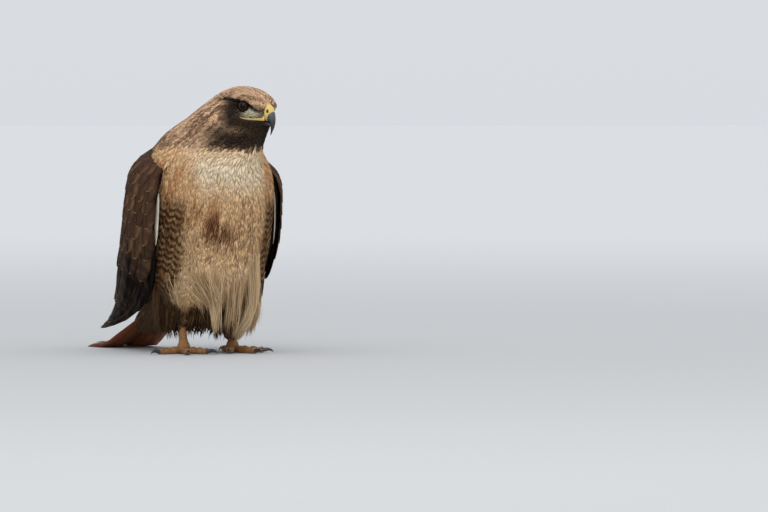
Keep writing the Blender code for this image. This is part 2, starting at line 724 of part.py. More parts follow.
def make_claw(side_name, toe, start, heading, toe_radius):
    """A talon: an arc that rises a little, then bends down to a point just over the floor."""
    length = CLAW_LENGTH[toe]
    start_angle = math.radians(24)
    end_angle = math.radians(-74)
    count = 7
    point = start + heading * GAP
    path, radii = [point.copy()], [min(CLAW_RADIUS, toe_radius * 0.75)]
    for i in range(1, count + 1):
        share = i / count
        angle = start_angle + (end_angle - start_angle) * (share - 0.5 / count) if i > 1 else 0.0
        point = point + (heading * math.cos(angle) + Vector((0, 0, math.sin(angle)))) * (length / count)
        path.append(point.copy())
        radii.append(CLAW_RADIUS * (1 - share) ** 0.8 + 0.00035)
    lowest = min(p.z - r for p, r in zip(path[3:], radii[3:]))
    if lowest < 0.0006:
        for i, p in enumerate(path):
            p.z += (0.0006 - lowest) * (i / count) ** 1.5
    across = heading.cross(Vector((0, 0, 1)))
    smooth(bent_rod("claw_" + side_name + "_" + toe, path, across, radii, 8, "horn"), 60)


def stand_on_origin():
    """Parents every node to one empty that puts the origin under the middle of the bird."""
    bpy.context.view_layer.update()
    nodes = list(bpy.data.objects)
    corners = [obj.matrix_world @ Vector(c) for obj in nodes for c in obj.bound_box]
    middle_x = (min(c.x for c in corners) + max(c.x for c in corners)) / 2
    middle_y = (min(c.y for c in corners) + max(c.y for c in corners)) / 2
    hawk = bpy.data.objects.new("hawk", None)
    bpy.context.scene.collection.objects.link(hawk)
    for obj in nodes:
        obj.parent = hawk
    hawk.location = (-middle_x, -middle_y, 0)
    print("origin moved by", tuple(round(c, 6) for c in hawk.location))


def main():
    remove_startup_objects()
    make_head()
    make_bill()
    smooth(neck_form("neck"))
    smooth(torso_form("torso"))
    make_tail()
    for side, side_name in ((1, "left"), (-1, "right")):
        make_wing(side, side_name)
        make_thigh(side, side_name)
        make_shank(side, side_name)
        for toe in TOES[side_name]:
            make_toe(side, side_name, toe)
    stand_on_origin()


main()
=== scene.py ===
"""The looks of a standing red-tailed hawk: skin, plumage, eyes, bill, feet and studio.

Every length is in metres. Most places are written in the bird's own frame, whose
origin is on the floor between the feet. The bird faces -Y and its left side is +X.
"""

import math

import bpy
import numpy as np
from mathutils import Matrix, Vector
from mathutils.bvhtree import BVHTree


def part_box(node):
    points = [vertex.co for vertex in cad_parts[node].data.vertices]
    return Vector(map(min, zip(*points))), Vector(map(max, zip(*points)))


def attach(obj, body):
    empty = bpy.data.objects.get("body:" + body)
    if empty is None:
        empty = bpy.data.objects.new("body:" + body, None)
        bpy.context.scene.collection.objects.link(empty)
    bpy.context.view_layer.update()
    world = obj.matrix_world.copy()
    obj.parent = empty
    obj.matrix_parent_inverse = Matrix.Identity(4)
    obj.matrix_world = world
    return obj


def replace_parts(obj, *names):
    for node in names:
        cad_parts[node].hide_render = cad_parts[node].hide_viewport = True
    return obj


bl_info = {
    "name": "Hawk figure",
    "version": (1, 0, 0),
    "blender": (4, 5, 0),
    "location": "3D View > Sidebar > Hawk",
    "description": "Builds the plumage, eyes, bill, feet and studio of a standing hawk",
    "category": "Object",
}

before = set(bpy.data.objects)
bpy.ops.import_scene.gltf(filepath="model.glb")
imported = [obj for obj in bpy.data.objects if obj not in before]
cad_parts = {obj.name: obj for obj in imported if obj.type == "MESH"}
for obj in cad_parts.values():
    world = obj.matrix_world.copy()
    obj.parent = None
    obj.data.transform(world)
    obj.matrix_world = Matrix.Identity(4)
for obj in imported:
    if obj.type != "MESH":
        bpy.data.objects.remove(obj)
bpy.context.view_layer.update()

FLESH = ("head", "neck", "torso", "thigh_left", "thigh_right")
SIDES = (("left", 1), ("right", -1))
SEEDS = {"plumage": 7, "plumes": 11, "left": 31, "right": 17, "mantle": 23, "tail": 5, "fine": 3, "broad": 4}

# The head's turn to the bird's left, about a line through the neck
HEAD_TURN = math.radians(25)
NECK_PIVOT = np.array([0.0, -0.050, 0.0])

EYE = np.array([0.0185, -0.0915, 0.321])
EYE_RADIUS = 0.0093
LID_OPEN = 0.0086
# How far to the side of straight ahead an eye looks
EYE_LATERAL = math.radians(62)
LID_AROUND, LID_TUBE = 40, 10

# Half-sections of the bill: throat-side Y and Z, back-side Y and Z, half width
UPPER_BILL = [
    (-0.1040, 0.3035, -0.1050, 0.3240, 0.0082),
    (-0.1130, 0.3030, -0.1140, 0.3242, 0.0082),
    (-0.1160, 0.3022, -0.1190, 0.3228, 0.0076),
    (-0.1184, 0.3012, -0.1220, 0.3203, 0.0069),
    (-0.1202, 0.3000, -0.1250, 0.3158, 0.0060),
    (-0.1212, 0.2980, -0.1270, 0.3095, 0.0050),
    (-0.1218, 0.2945, -0.1276, 0.3020, 0.0039),
    (-0.1218, 0.2905, -0.1262, 0.2945, 0.0027),
    (-0.1212, 0.2868, -0.1236, 0.2885, 0.0015),
    (-0.1204, 0.2838, -0.1211, 0.2836, 0.0005),
]
# Where the yellow skin gives way to horn, at the bill's top and at its lower edge
CERE_TOP = 4.4
CERE_LOW = 2.7
CERE_SWELLING = 0.0007
NOSTRIL = np.array([0.0071, -0.1203, 0.3142])
NOSTRIL_SHAPE = np.array([1.8, 1.1, 1.8])
# How many rings each part of the bill has, and how many points each ring has
CERE_GRAIN, HOOK_GRAIN, JAW_GRAIN = (64, 128), (44, 48), (20, 32)
LOWER_BILL = [
    (-0.1000, 0.2950, -0.1000, 0.3040, 0.0070),
    (-0.1100, 0.2955, -0.1105, 0.3028, 0.0062),
    (-0.1160, 0.2963, -0.1165, 0.3016, 0.0052),
    (-0.1195, 0.2974, -0.1198, 0.3004, 0.0038),
    (-0.1212, 0.2984, -0.1213, 0.2996, 0.0015),
]
MOUTH = [(-0.0940, 0.3066), (-0.0985, 0.3053), (-0.1045, 0.3046), (-0.1110, 0.3046), (-0.1160, 0.3050)]

# The lower edge of the brow, as distance forward and height, from the temple to the cere
BROW = [
    (-0.0600, 0.3350), (-0.0700, 0.3345), (-0.0850, 0.3318), (-0.0990, 0.3282), (-0.1080, 0.3240),
    (-0.1150, 0.3190), (-0.1200, 0.3170),
]

# How far the skin stands off the solids, and how far it sinks round the eye
SKIN_LIFT = 0.0006
EYE_SINK = 0.0018
# The clear ring round the eye's middle, and the lowest place where a feather is rooted
EYE_CLEAR = 0.0098
ROOT_LOWEST = 0.014
# How many places are tried for the roots of the body feathers
SCATTERED = 420000

# From one dark bar of a flank feather to the next
BAR_PITCH = 0.0088
FLANK_COLUMNS = 38

# The root of the tail under its coverts, as half-sections
TAIL_ROOT = [
    (0.0600, 0.0420, 0.1320, 0.0760, 0.0330),
    (0.1050, 0.0300, 0.1580, 0.0580, 0.0270),
    (0.1400, 0.0210, 0.1760, 0.0430, 0.0225),
    (0.1620, 0.0180, 0.1840, 0.0330, 0.0160),
]

# The folded left wing's face, from the shoulder to the wingtip: front edge, flank, ridge
WING = [
    [(0.052, -0.012, 0.261), (0.053, 0.022, 0.276), (0.010, 0.050, 0.287)],
    [(0.083, -0.023, 0.224), (0.089, 0.030, 0.241), (0.008, 0.089, 0.249)],
    [(0.090, -0.022, 0.178), (0.093, 0.045, 0.192), (0.006, 0.112, 0.200)],
    [(0.088, -0.014, 0.128), (0.092, 0.058, 0.148), (0.006, 0.128, 0.158)],
    [(0.080, 0.012, 0.082), (0.082, 0.092, 0.108), (0.007, 0.144, 0.122)],
    [(0.062, 0.082, 0.050), (0.060, 0.140, 0.076), (0.008, 0.172, 0.091)],
    [(0.042, 0.172, 0.033), (0.036, 0.202, 0.051), (0.008, 0.214, 0.062)],
    [(0.027, 0.252, 0.021), (0.019, 0.262, 0.030), (0.006, 0.262, 0.036)],
]

# How deep the top of the wing, and its ridge by the back, sink into the plumage
WING_PRESS = 0.0075
RIDGE_PRESS = 0.0060

# The tail: from root to tip, in pairs of feathers that fan out and lie over each other
TAIL_TIP_Y = 0.290
TAIL_ROOT_Y = 0.112
TAIL_PAIRS = 6
TAIL_LAYER = 0.00085
TAIL_FAN = math.radians(1.1)
TAIL_WIDTH = 0.031
TAIL_CURVE = [(0.0520,), (0.0250,), (-0.0012,), (-0.0012,)]

FOOT_X = 0.036
# The shank from under the plumage down to the sole, as distance back and height
SHANK_PATH = [(0.006, 0.056), (0.003, 0.030), (0.001, 0.018), (0.0, 0.011), (0.0, 0.006), (0.0, 0.001)]
SHANK_RADII = [0.0052, 0.0052, 0.0056, 0.0080, 0.0092, 0.0080]
TOE_RADIUS = 0.0048
CLAW_RADIUS = 0.0027
# Which way each toe points, in degrees outwards from straight ahead, and how long it is
TOES = {
    "left": {"outer": (52, 0.036), "middle": (8, 0.045), "inner": (-34, 0.033), "hind": (172, 0.026)},
    "right": {"outer": (78, 0.037), "middle": (22, 0.045), "inner": (-24, 0.034), "hind": (186, 0.026)},
}
# How far the lowest point of a claw stays above the floor
CLAW_CLEAR = 0.0006
CLAW_LENGTH = {"outer": 0.017, "middle": 0.020, "inner": 0.022, "hind": 0.023}


def tint(red, green, blue):
    """A colour as seen on a screen, 0 to 255, turned into the renderer's own scale."""
    shares = [c / 255 for c in (red, green, blue)]
    return tuple(((c + 0.055) / 1.055) ** 2.4 if c > 10 / 255 else c / 12.92 for c in shares)


def length(name, value, words):
    """A size that a user can change."""
    return bpy.props.FloatProperty(name=name, description=words, default=value, min=0.0, unit="LENGTH")


def colour(name, value, words):
    """A colour that a user can change."""
    return bpy.props.FloatVectorProperty(
        name=name, description=words, default=value, subtype="COLOR", size=3, min=0.0, max=1.0
    )


class HawkSizes(bpy.types.PropertyGroup):
    """The sizes of the plumage that a user would change."""

    voxel: length("Skin grain", 0.0022, "How fine the skin under the feathers is")
    coat_depth: length("Coat depth", 0.0032, "How thick the body feathers lie over the skin")
    face_depth: length("Face depth", 0.0010, "How thick the feathers of the face lie")
    breast_length: length("Breast feather", 0.0250, "The length of a feather on the breast")
    breast_width: length("Breast feather width", 0.0062, "The width of a feather on the breast")
    breast_gap: length("Breast feather gap", 0.0030, "How far apart breast feathers are rooted")
    head_length: length("Head feather", 0.0090, "The length of a feather on the head")
    head_gap: length("Head feather gap", 0.0026, "How far apart head feathers are rooted")
    wisp_width: length("Wisp width", 0.0017, "The width of one strand of the loose plumes below the belly")


class HawkColours(bpy.types.PropertyGroup):
    """The colours of the plumage and the bare parts."""

    cream: colour("Cream", tint(220, 201, 170), "The middle of the breast")
    buff: colour("Buff", tint(214, 175, 130), "The ground of the underside")
    rufous: colour("Rufous", tint(172, 116, 72), "The wash at the sides of the breast")
    streak: colour("Streak", tint(70, 36, 19), "The dark streaks of the belly band")
    bar: colour("Bar", tint(46, 29, 17), "The bars of the flanks")
    crown: colour("Crown", tint(182, 149, 120), "The tips of the crown feathers")
    hood: colour("Hood", tint(222, 182, 144), "The neck and the sides of the head")
    face: colour("Face", tint(36, 26, 20), "The cheeks and throat")
    mantle: colour("Mantle", tint(66, 46, 33), "The back and the wing coverts")
    flight: colour("Flight feathers", tint(23, 17, 13), "The long feathers of the wing")
    fringe: colour("Fringe", tint(172, 136, 102), "The pale edges of the wing feathers")
    tail: colour("Tail", tint(150, 82, 46), "The upper side of the tail")
    cere: colour("Cere", tint(206, 178, 100), "The bare yellow skin over the bill")
    horn: colour("Horn", tint(68, 69, 73), "The hook of the bill")
    foot: colour("Foot", tint(146, 102, 54), "The scaled skin of the legs")
    iris: colour("Iris", tint(38, 24, 14), "The coloured ring of the eye")
    floor: colour("Floor", tint(184, 184, 183), "The studio floor")


def sizes():
    return bpy.context.scene.hawk_sizes


def colours():
    return bpy.context.scene.hawk_colours


# Numbers and places

def fade(value, low, high):
    """0 below low, 1 above high, and a smooth change between."""
    t = np.clip((value - low) / (high - low), 0.0, 1.0)
    return t * t * (3 - 2 * t)


def mound(value, centre, reach):
    """1 at the centre, falling away smoothly over the reach."""
    return np.exp(-(((value - centre) / reach) ** 2))


def unit(vectors):
    """The vectors, each made one long."""
    return vectors / np.maximum(np.linalg.norm(vectors, axis=-1, keepdims=True), 1e-12)


def turned(points, share=1.0):
    """Points of the straight head, carried round with the head."""
    angle = HEAD_TURN * np.broadcast_to(share, points.shape[:-1])
    offset = points - NECK_PIVOT
    x = offset[..., 0] * np.cos(angle) - offset[..., 1] * np.sin(angle)
    y = offset[..., 0] * np.sin(angle) + offset[..., 1] * np.cos(angle)
    return np.stack([x, y, offset[..., 2]], -1) + NECK_PIVOT


def straightened(points):
    """Points of the turned head, carried back as if it looked straight ahead."""
    return turned(points, -fade(points[..., 2], 0.250, 0.290))


def along(rows, places):
    """The smooth curve through rows of numbers, at places counted in rows."""
    rows = np.asarray(rows, float)
    places = np.asarray(places, float)
    last = len(rows) - 1
    start = np.clip(np.floor(places).astype(int), 0, last - 1)
    t = (places - start)[..., None]
    before, here, there, after = (rows[np.clip(start + k, 0, last)] for k in (-1, 0, 1, 2))
    return 0.5 * (
        2 * here
        + (there - before) * t
        + (2 * before - 5 * here + 4 * there - after) * t**2
        + (3 * here - before - 3 * there + after) * t**3
    )


def circle(count, shift=0.0):
    """Evenly spaced angles all the way round."""
    return (np.arange(count) + shift) * 2 * math.pi / count


def find_shift():
    """The bird's own origin in the frame of the solids, from where its left eye is."""
    low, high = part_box("eye_left")
    seen = (np.array(low) + np.array(high)) / 2
    return seen - turned(EYE)


SHIFT = find_shift()


# Meshes

def tube_faces(count, stations, around):
    """The faces of many closed tubes of rings, each ring an even number of points."""
    k = np.arange(around)
    onward = (k + 1) % around
    start = np.arange(stations - 1)[:, None] * around
    walls = np.stack([start + k, start + onward, start + around + onward, start + around + k], -1)
    cap = np.array([[i, i + 1, around - 2 - i, around - 1 - i] for i in range(around // 2 - 1)])
    last = (stations - 1) * around
    faces = np.concatenate([walls.reshape(-1, 4), cap[:, ::-1], cap + last])
    return (faces[None] + (np.arange(count) * stations * around)[:, None, None]).reshape(-1, 4)


def facing_out(points, faces):
    """The faces, turned over if the closed form that they make is inside out."""
    sample = faces[: min(len(faces), 4000)]
    a, b, c, d = (points[sample[:, i]] for i in range(4))
    centre = points[np.unique(sample)].mean(0)
    a, b, c, d = a - centre, b - centre, c - centre, d - centre
    volume = np.einsum("ij,ij->", a, np.cross(b, c)) + np.einsum("ij,ij->", a, np.cross(c, d))
    return faces if volume > 0 else faces[:, ::-1]


def new_piece(name, points, faces, material, fields=None, bake_uv=None):
    """A piece of the scene from arrays: places, four-cornered faces, numbers per point."""
    points = np.asarray(points, float).reshape(-1, 3) + SHIFT
    faces = np.asarray(faces, np.int32)
    mesh = bpy.data.meshes.new(name)
    mesh.vertices.add(len(points))
    mesh.vertices.foreach_set("co", points.astype(np.float32).ravel())
    mesh.loops.add(faces.size)
    mesh.loops.foreach_set("vertex_index", faces.ravel())
    mesh.polygons.add(len(faces))
    mesh.polygons.foreach_set("loop_start", np.arange(len(faces), dtype=np.int32) * 4)
    for field, values in (fields or {}).items():
        layer = mesh.attributes.new(field, "FLOAT", "POINT")
        layer.data.foreach_set("value", np.asarray(values, np.float32).ravel())
    if bake_uv is not None:
        layer = mesh.uv_layers.new(name="OFBake")
        layer.data.foreach_set("uv", np.asarray(bake_uv, np.float32)[faces.ravel()].ravel())
    mesh.update(calc_edges=True)
    mesh.validate()
    mesh.shade_smooth()
    mesh.materials.append(material)
    piece = bpy.data.objects.new(name, mesh)
    bpy.context.scene.collection.objects.link(piece)
    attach(piece, "root")
    return piece


def ring_piece(name, rings, material, fields=None, bake_uv=None):
    """A piece from one closed form, or from many, each of them a stack of rings."""
    stations, around = rings.shape[-3:-1]
    points = rings.reshape(-1, 3)
    faces = tube_faces(len(points) // (stations * around), stations, around)
    return new_piece(name, points, facing_out(points, faces), material, fields, bake_uv)


def section_rings(sections, places, around):
    """Rings of a rounded form through half-sections, before any turn.

    Places hold one number for each ring, or one for each point of each ring.
    """
    places = np.asarray(places, float)
    if places.ndim == 1:
        places = np.repeat(places[:, None], around, 1)
    rows = along(sections, places)
    angle = circle(around)
    middle, reach = (rows[..., 0:2] + rows[..., 2:4]) / 2, (rows[..., 2:4] - rows[..., 0:2]) / 2
    side = middle + reach * np.cos(angle)[:, None]
    return np.concatenate([(rows[..., 4] * np.sin(angle))[..., None], side], -1)


def above_floor(rings):
    """The rings, with no point left under the floor."""
    rings[..., 2] = np.maximum(rings[..., 2], 0.0)
    return rings


def rod_rings(path, radii, across, around):
    """Rings of a round rod along a path that bends square to a fixed direction."""
    path = np.asarray(path, float)
    onward = unit(np.gradient(path, axis=0))
    across = np.broadcast_to(np.asarray(across, float), onward.shape)
    over = np.cross(across, onward)
    angle = circle(around, 0.5)
    radii = np.asarray(radii, float)[:, None, None]
    rings = path[:, None] + across[:, None] * radii * np.cos(angle)[:, None]
    rings = rings + over[:, None] * radii * np.sin(angle)[:, None]
    return above_floor(rings)


# Materials

class Field:
    """A socket of a material, on which ordinary arithmetic adds Math nodes."""

    def __init__(self, look, socket):
        self.look = look
        self.socket = socket

    def math(self, operation, first, second=None):
        values = {0: first} if second is None else {0: first, 1: second}
        return self.look.node("ShaderNodeMath", {"operation": operation}, values)

    def __add__(self, other):
        return self.math("ADD", self, other)

    def __radd__(self, other):
        return self.math("ADD", other, self)

    def __sub__(self, other):
        return self.math("SUBTRACT", self, other)

    def __rsub__(self, other):
        return self.math("SUBTRACT", other, self)

    def __mul__(self, other):
        return self.math("MULTIPLY", self, other)

    def __rmul__(self, other):
        return self.math("MULTIPLY", other, self)

    def __neg__(self):
        return self.math("MULTIPLY", self, -1.0)

    def __pow__(self, other):
        return self.math("POWER", self, other)

    def __abs__(self):
        return self.math("ABSOLUTE", self)

    def sine(self):
        return self.math("SINE", self)

    def at_least(self, low):
        return self.math("MAXIMUM", self, low)

    def fade(self, low, high):
        """0 below low and 1 above high, as the function of that name does for numbers."""
        settings = {"interpolation_type": "SMOOTHSTEP", "clamp": True}
        return self.look.node("ShaderNodeMapRange", settings, {0: self, 1: low, 2: high})


class NodeTree:
    """A tree of nodes that grows through one method."""

    def __init__(self, tree):
        self.tree = tree

    def node(self, kind, settings=None, values=None, output=0):
        """Adds a node, sets its settings, then fills or links its sockets."""
        made = self.tree.nodes.new(kind)
        for setting, value in (settings or {}).items():
            setattr(made, setting, value)
        for key, value in (values or {}).items():
            self.fill(made.inputs[key], value)
        return Field(self, made.outputs[output])

    def fill(self, socket, value):
        if isinstance(value, Field):
            self.tree.links.new(value.socket, socket)
        elif hasattr(value, "__len__"):
            value = tuple(value)
            socket.default_value = value + (1.0,) if socket.type == "RGBA" and len(value) == 3 else value
        else:
            socket.default_value = value


class Look(NodeTree):
    """A material with one main shader, built from nodes."""

    def __init__(self, name, **constants):
        self.material = bpy.data.materials.new(name)
        self.material.use_nodes = True
        super().__init__(self.material.node_tree)
        self.shader = self.tree.nodes["Principled BSDF"]
        for socket, value in constants.items():
            self.shader.inputs[socket.replace("_", " ")].default_value = value

    def attribute(self, name):
        return self.node("ShaderNodeAttribute", {"attribute_name": name}, output="Fac")

    def place(self):
        return self.node("ShaderNodeTexCoord", output="Object")

    def noise(self, scale, detail=2.0, stretch=None):
        vector = self.place()
        if stretch:
            vector = self.node("ShaderNodeMapping", {}, {"Vector": vector, "Scale": stretch})
        return self.node("ShaderNodeTexNoise", {}, {"Vector": vector, "Scale": scale, "Detail": detail})

    def mix(self, share, first, second):
        return self.node("ShaderNodeMix", {"data_type": "RGBA"}, {0: share, 6: first, 7: second}, output=2)

    def shade(self, colour, amount):
        """The colour times a grey amount, by way of the colour mix that multiplies."""
        grey = self.node("ShaderNodeCombineColor", {}, {0: amount, 1: amount, 2: amount})
        settings = {"data_type": "RGBA", "blend_type": "MULTIPLY"}
        return self.node("ShaderNodeMix", settings, {0: 1.0, 6: colour, 7: grey}, output=2)

    def bump(self, height, strength, distance=0.001):
        values = {"Height": height, "Strength": strength, "Distance": distance}
        return self.node("ShaderNodeBump", {}, values)

    def finish(self, **sockets):
        for socket, value in sockets.items():
            self.fill(self.shader.inputs[socket.replace("_", " ")], value)
        return self.material


# Shades that go with a user's colours
FLANK_GROUND = tint(116, 80, 46)
WISP_PALE = tint(222, 200, 162)
NAPE_BROWN = tint(100, 71, 52)
MALAR_PALE = tint(150, 124, 94)
LORE_PALE = tint(184, 172, 146)
# Painted shadow of the brow over the eye
BROW_SHADOW_PAINT = tint(24, 18, 15)
# Painted shade: the browns that darken the vent and the underside by the floor
SHADE_PAINT_DEEP = tint(42, 28, 17)
SHADE_PAINT_BROWN = tint(88, 64, 40)
WISP_BUFF = tint(122, 90, 57)
# Painted shade for the loose plumes between and behind the legs
WISP_SHADE_DEEP = tint(40, 27, 17)
WISP_SHADE_BROWN = tint(104, 76, 48)
FLIGHT_BAND = tint(24, 20, 19)
COVERT_SPOT = tint(140, 104, 74)
COVERT_BAR = tint(120, 92, 66)
WING_WHITE = tint(196, 186, 168)
WING_SHAFT = tint(26, 18, 13)
TAIL_DEEP = tint(128, 66, 38)
TAIL_EDGE = tint(92, 54, 36)
TAIL_BAND = tint(34, 24, 20)
TAIL_END = tint(214, 178, 140)
TAIL_SHAFT = tint(70, 38, 24)
HORN_POINT = tint(16, 15, 16)
JAW_HORN = tint(36, 34, 32)
CLAW_HORN = tint(58, 56, 58)
CERE_WORN = tint(206, 178, 104)
# Painted shade in the nostrils
NOSTRIL_SHADE = tint(58, 42, 20)
FOOT_WORN = tint(142, 96, 50)
FOOT_GROOVE = tint(82, 54, 32)
FOOT_SEAM = tint(70, 46, 28)
IRIS_RAY = tint(54, 36, 19)
IRIS_RIM = tint(20, 13, 10)
PUPIL = tint(4, 3, 3)
LID_BROW_SHADE = tint(30, 24, 19)
LID_LOWER = tint(124, 110, 82)
FLOOR_FAR_PAINTED_LIGHT = tint(206, 206, 205)


def body_plumage(name, skin=False):
    """Head, neck, breast, belly and back, from the markings that each point carries, with painted shade under
    the brow and the body.
    """
    look = Look(name, Roughness=0.85, Specular_IOR_Level=0.08)
    tints = colours()
    along_vane = look.attribute("along")
    across_vane = abs(look.attribute("across"))
    seed = look.attribute("seed")
    second = (seed * 71.0).sine() * 0.5 + 0.5
    patch = look.noise(60.0, 3.0)
    fine = look.noise(420.0, 2.0)
    edge = across_vane.fade(0.25, 0.8)

    tone = look.attribute("tone")
    under = look.mix(look.attribute("cream") * (0.72 + 0.45 * tone), tints.buff, tints.cream)
    wash = look.attribute("rufous") * (0.25 + 0.85 * tone) * (0.65 + 0.35 * seed)
    under = look.mix(wash.fade(0.05, 0.95) * 0.75, under, tints.rufous)
    shaft = 1 - (across_vane - 0.45 * along_vane).fade(-0.20, 0.30)
    cluster = look.attribute("band") * (0.30 * patch + 0.45 * tone + 0.30 * second).fade(0.22, 0.56)
    under = look.mix(cluster * (0.30 + 0.70 * shaft), under, tints.streak)
    chosen = (0.50 * tone + 0.50 * second + look.attribute("streak")).fade(0.92, 1.04)
    under = look.mix(chosen * shaft * 0.80, under, tints.streak)
    ripple = (look.attribute("run") * (1.0 / BAR_PITCH) + look.attribute("arc") + 0.10 * seed) * math.tau
    ripple = (ripple.sine() * 0.5 + 0.5).fade(0.28, 0.66).at_least(look.attribute("gap") * 0.7)
    flank = look.mix(0.65 + 0.3 * tone, under, FLANK_GROUND)
    flank = look.mix(ripple * (0.70 + 0.25 * second), flank, tints.bar)
    under = look.mix(look.attribute("bars"), under, flank)

    tawny = (0.10 + 0.55 * tone + 0.35 * edge + 0.35 * (seed - 0.5)).fade(0.0, 0.95)
    brown = look.mix(tawny, NAPE_BROWN, tints.hood)
    streaky = look.attribute("crown") * (0.12 + 0.80 * tone) * (0.38 + 0.55 * edge)
    brown = look.mix(streaky, brown, tints.crown)
    rim = (across_vane + along_vane * 0.6).fade(1.05, 1.5)
    mantle = look.mix(rim * (0.25 + 0.5 * seed), tints.mantle, tints.fringe)
    brown = look.mix(look.attribute("dorsal"), brown, mantle)
    brown = look.mix(look.attribute("face") * (0.90 + 0.15 * fine), brown, tints.face)
    hooded = (look.attribute("hood") + (second - 0.5) * 0.22 + (tone - 0.5) * 0.4).fade(0.30, 0.70)
    base = look.mix(hooded, under, brown)
    base = look.mix(look.attribute("malar") * (tone * 0.8 + second * 0.5).fade(0.45, 0.95), base, MALAR_PALE)
    base = look.mix(look.attribute("lore") * (0.75 + 0.60 * second), base, LORE_PALE)
    # Painted shadow below the brow and painted shade round the eye
    base = look.mix(look.attribute("brow"), base, BROW_SHADOW_PAINT)
    # Painted shade under the body, round the vent and low by the floor
    painted_shade_colour = look.mix(0.55 * tone + 0.35 * seed, SHADE_PAINT_DEEP, SHADE_PAINT_BROWN)
    base = look.mix(look.attribute("dusk"), base, painted_shade_colour)
    base = look.shade(base, 0.80 + 0.12 * seed + 0.12 * fine + 0.10 * along_vane + 0.12 * tone)
    barbs = (along_vane * 90.0 + across_vane * 24.0).sine()
    height = barbs * 0.4 + fine
    return look.finish(Base_Color=base, Normal=look.bump(height, 0.5 if skin else 0.25, 0.0004))


def wisp_look(name):
    """Loose plumes: brown where they grow, pale towards their ends, darkened by painted shade between and
    behind the legs.
    """
    look = Look(name, Roughness=0.85, Specular_IOR_Level=0.08)
    tints = colours()
    along_strand = look.attribute("along")
    seed = look.attribute("seed")
    second = (seed * 71.0).sine() * 0.5 + 0.5
    fine = look.noise(420.0, 2.0)
    ground = look.mix(0.9 * seed, WISP_BUFF, tints.buff)
    light = look.attribute("pale") * (0.40 + 0.60 * along_strand) * (0.45 + 0.75 * seed)
    ground = look.mix(light, ground, WISP_PALE)
    # Painted shade on strands between and behind the legs and on the right trouser
    brown = look.mix(0.5 * second + 0.3 * seed, WISP_SHADE_DEEP, WISP_SHADE_BROWN)
    ground = look.mix((look.attribute("dark") * 1.25 - 0.25 * seed).fade(0.0, 1.0), ground, brown)
    ground = look.shade(ground, 0.76 + 0.22 * seed + 0.14 * fine)
    return look.finish(Base_Color=ground, Normal=look.bump(fine, 0.3, 0.0004))


def wing_plumage(name):
    """The long feathers and coverts of the wing, dark with pale edges."""
    look = Look(name, Specular_IOR_Level=0.06)
    tints = colours()
    along_vane = look.attribute("along")
    across_vane = look.attribute("across")
    reach = abs(across_vane)
    seed = look.attribute("seed")
    covert = look.attribute("covert")
    pale = look.attribute("pale")
    fine = look.noise(380.0, 3.0)
    patch = look.noise(45.0, 2.0)
    ground = look.mix(covert, tints.flight, tints.mantle)
    bands = ((along_vane * 26.0 + reach * 1.6 + seed * 2.0).sine() * 0.5 + 0.5).fade(0.55, 0.9)
    ground = look.mix(bands * 0.45 * (1 - covert), ground, FLIGHT_BAND)
    edge = (reach ** 9.0 * 0.72 + along_vane ** 18.0 * 1.05 + 0.12 * fine).fade(0.64, 0.88)
    ground = look.mix(edge * pale * (0.35 + 0.65 * patch.fade(0.35, 0.6)), ground, tints.fringe)
    spot = pale * (patch + 0.35 * seed).fade(0.62, 0.85) * reach.fade(0.15, 0.8) * along_vane.fade(0.3, 0.9)
    ground = look.mix(spot * 0.45, ground, COVERT_SPOT)
    barred = pale * ((along_vane * 34.0 - reach * 3.0).sine() * 0.5 + 0.5).fade(0.6, 0.9) * (1 - covert)
    ground = look.mix(barred * 0.35, ground, COVERT_BAR)
    ground = look.mix(look.attribute("white"), ground, WING_WHITE)
    shaft = 1 - reach.fade(0.03, 0.10)
    ground = look.mix(shaft * 0.7, ground, WING_SHAFT)
    ground = look.shade(ground, 0.66 + 0.34 * seed + 0.16 * fine + 0.18 * patch)
    barbs = (along_vane * 210.0 + reach * 60.0).sine()
    height = barbs * 0.35 + fine * 0.4 + shaft * 2.0
    return look.finish(Base_Color=ground, Roughness=0.62 + 0.15 * fine, Normal=look.bump(height, 0.3, 0.0004))


def tail_plumage(name):
    """The tail: brick red with a thin dark band before a pale tip."""
    look = Look(name, Specular_IOR_Level=0.25)
    tints = colours()
    along_vane = look.attribute("along")
    reach = abs(look.attribute("across"))
    seed = look.attribute("seed")
    fine = look.noise(360.0, 3.0)
    wobble = along_vane + 0.008 * fine + 0.012 * reach
    ground = look.mix(0.35 * fine + 0.3 * seed, tints.tail, TAIL_DEEP)
    ground = look.mix(0.5 * reach.fade(0.55, 1.0), ground, TAIL_EDGE)
    band = wobble.fade(0.915, 0.925) - wobble.fade(0.945, 0.957)
    ground = look.mix(band, ground, TAIL_BAND)
    ground = look.mix(wobble.fade(0.965, 0.985), ground, TAIL_END)
    shaft = 1 - reach.fade(0.04, 0.10)
    ground = look.mix(shaft * 0.6, ground, TAIL_SHAFT)
    ground = look.shade(ground, 0.85 + 0.2 * seed)
    barbs = (along_vane * 300.0 + reach * 60.0).sine()
    height = barbs * 0.3 + shaft * 2.0
    return look.finish(Base_Color=ground, Roughness=0.5 + 0.15 * fine, Normal=look.bump(height, 0.3, 0.0004))


def horn_look(name, base):
    """Bill and claw horn: pale blue-grey where it grows, black towards the point."""
    look = Look(name, Specular_IOR_Level=0.5, Coat_Weight=0.25, Coat_Roughness=0.2)
    along_horn = look.attribute("along")
    grain = look.noise(260.0, 3.0, (1.0, 1.0, 0.25))
    ground = look.mix(along_horn.fade(0.0, 0.70), base, HORN_POINT)
    ground = look.shade(ground, 0.85 + 0.3 * grain)
    normal = look.bump(grain, 0.12, 0.0004)
    return look.finish(Base_Color=ground, Roughness=0.30 + 0.15 * grain, Normal=normal)


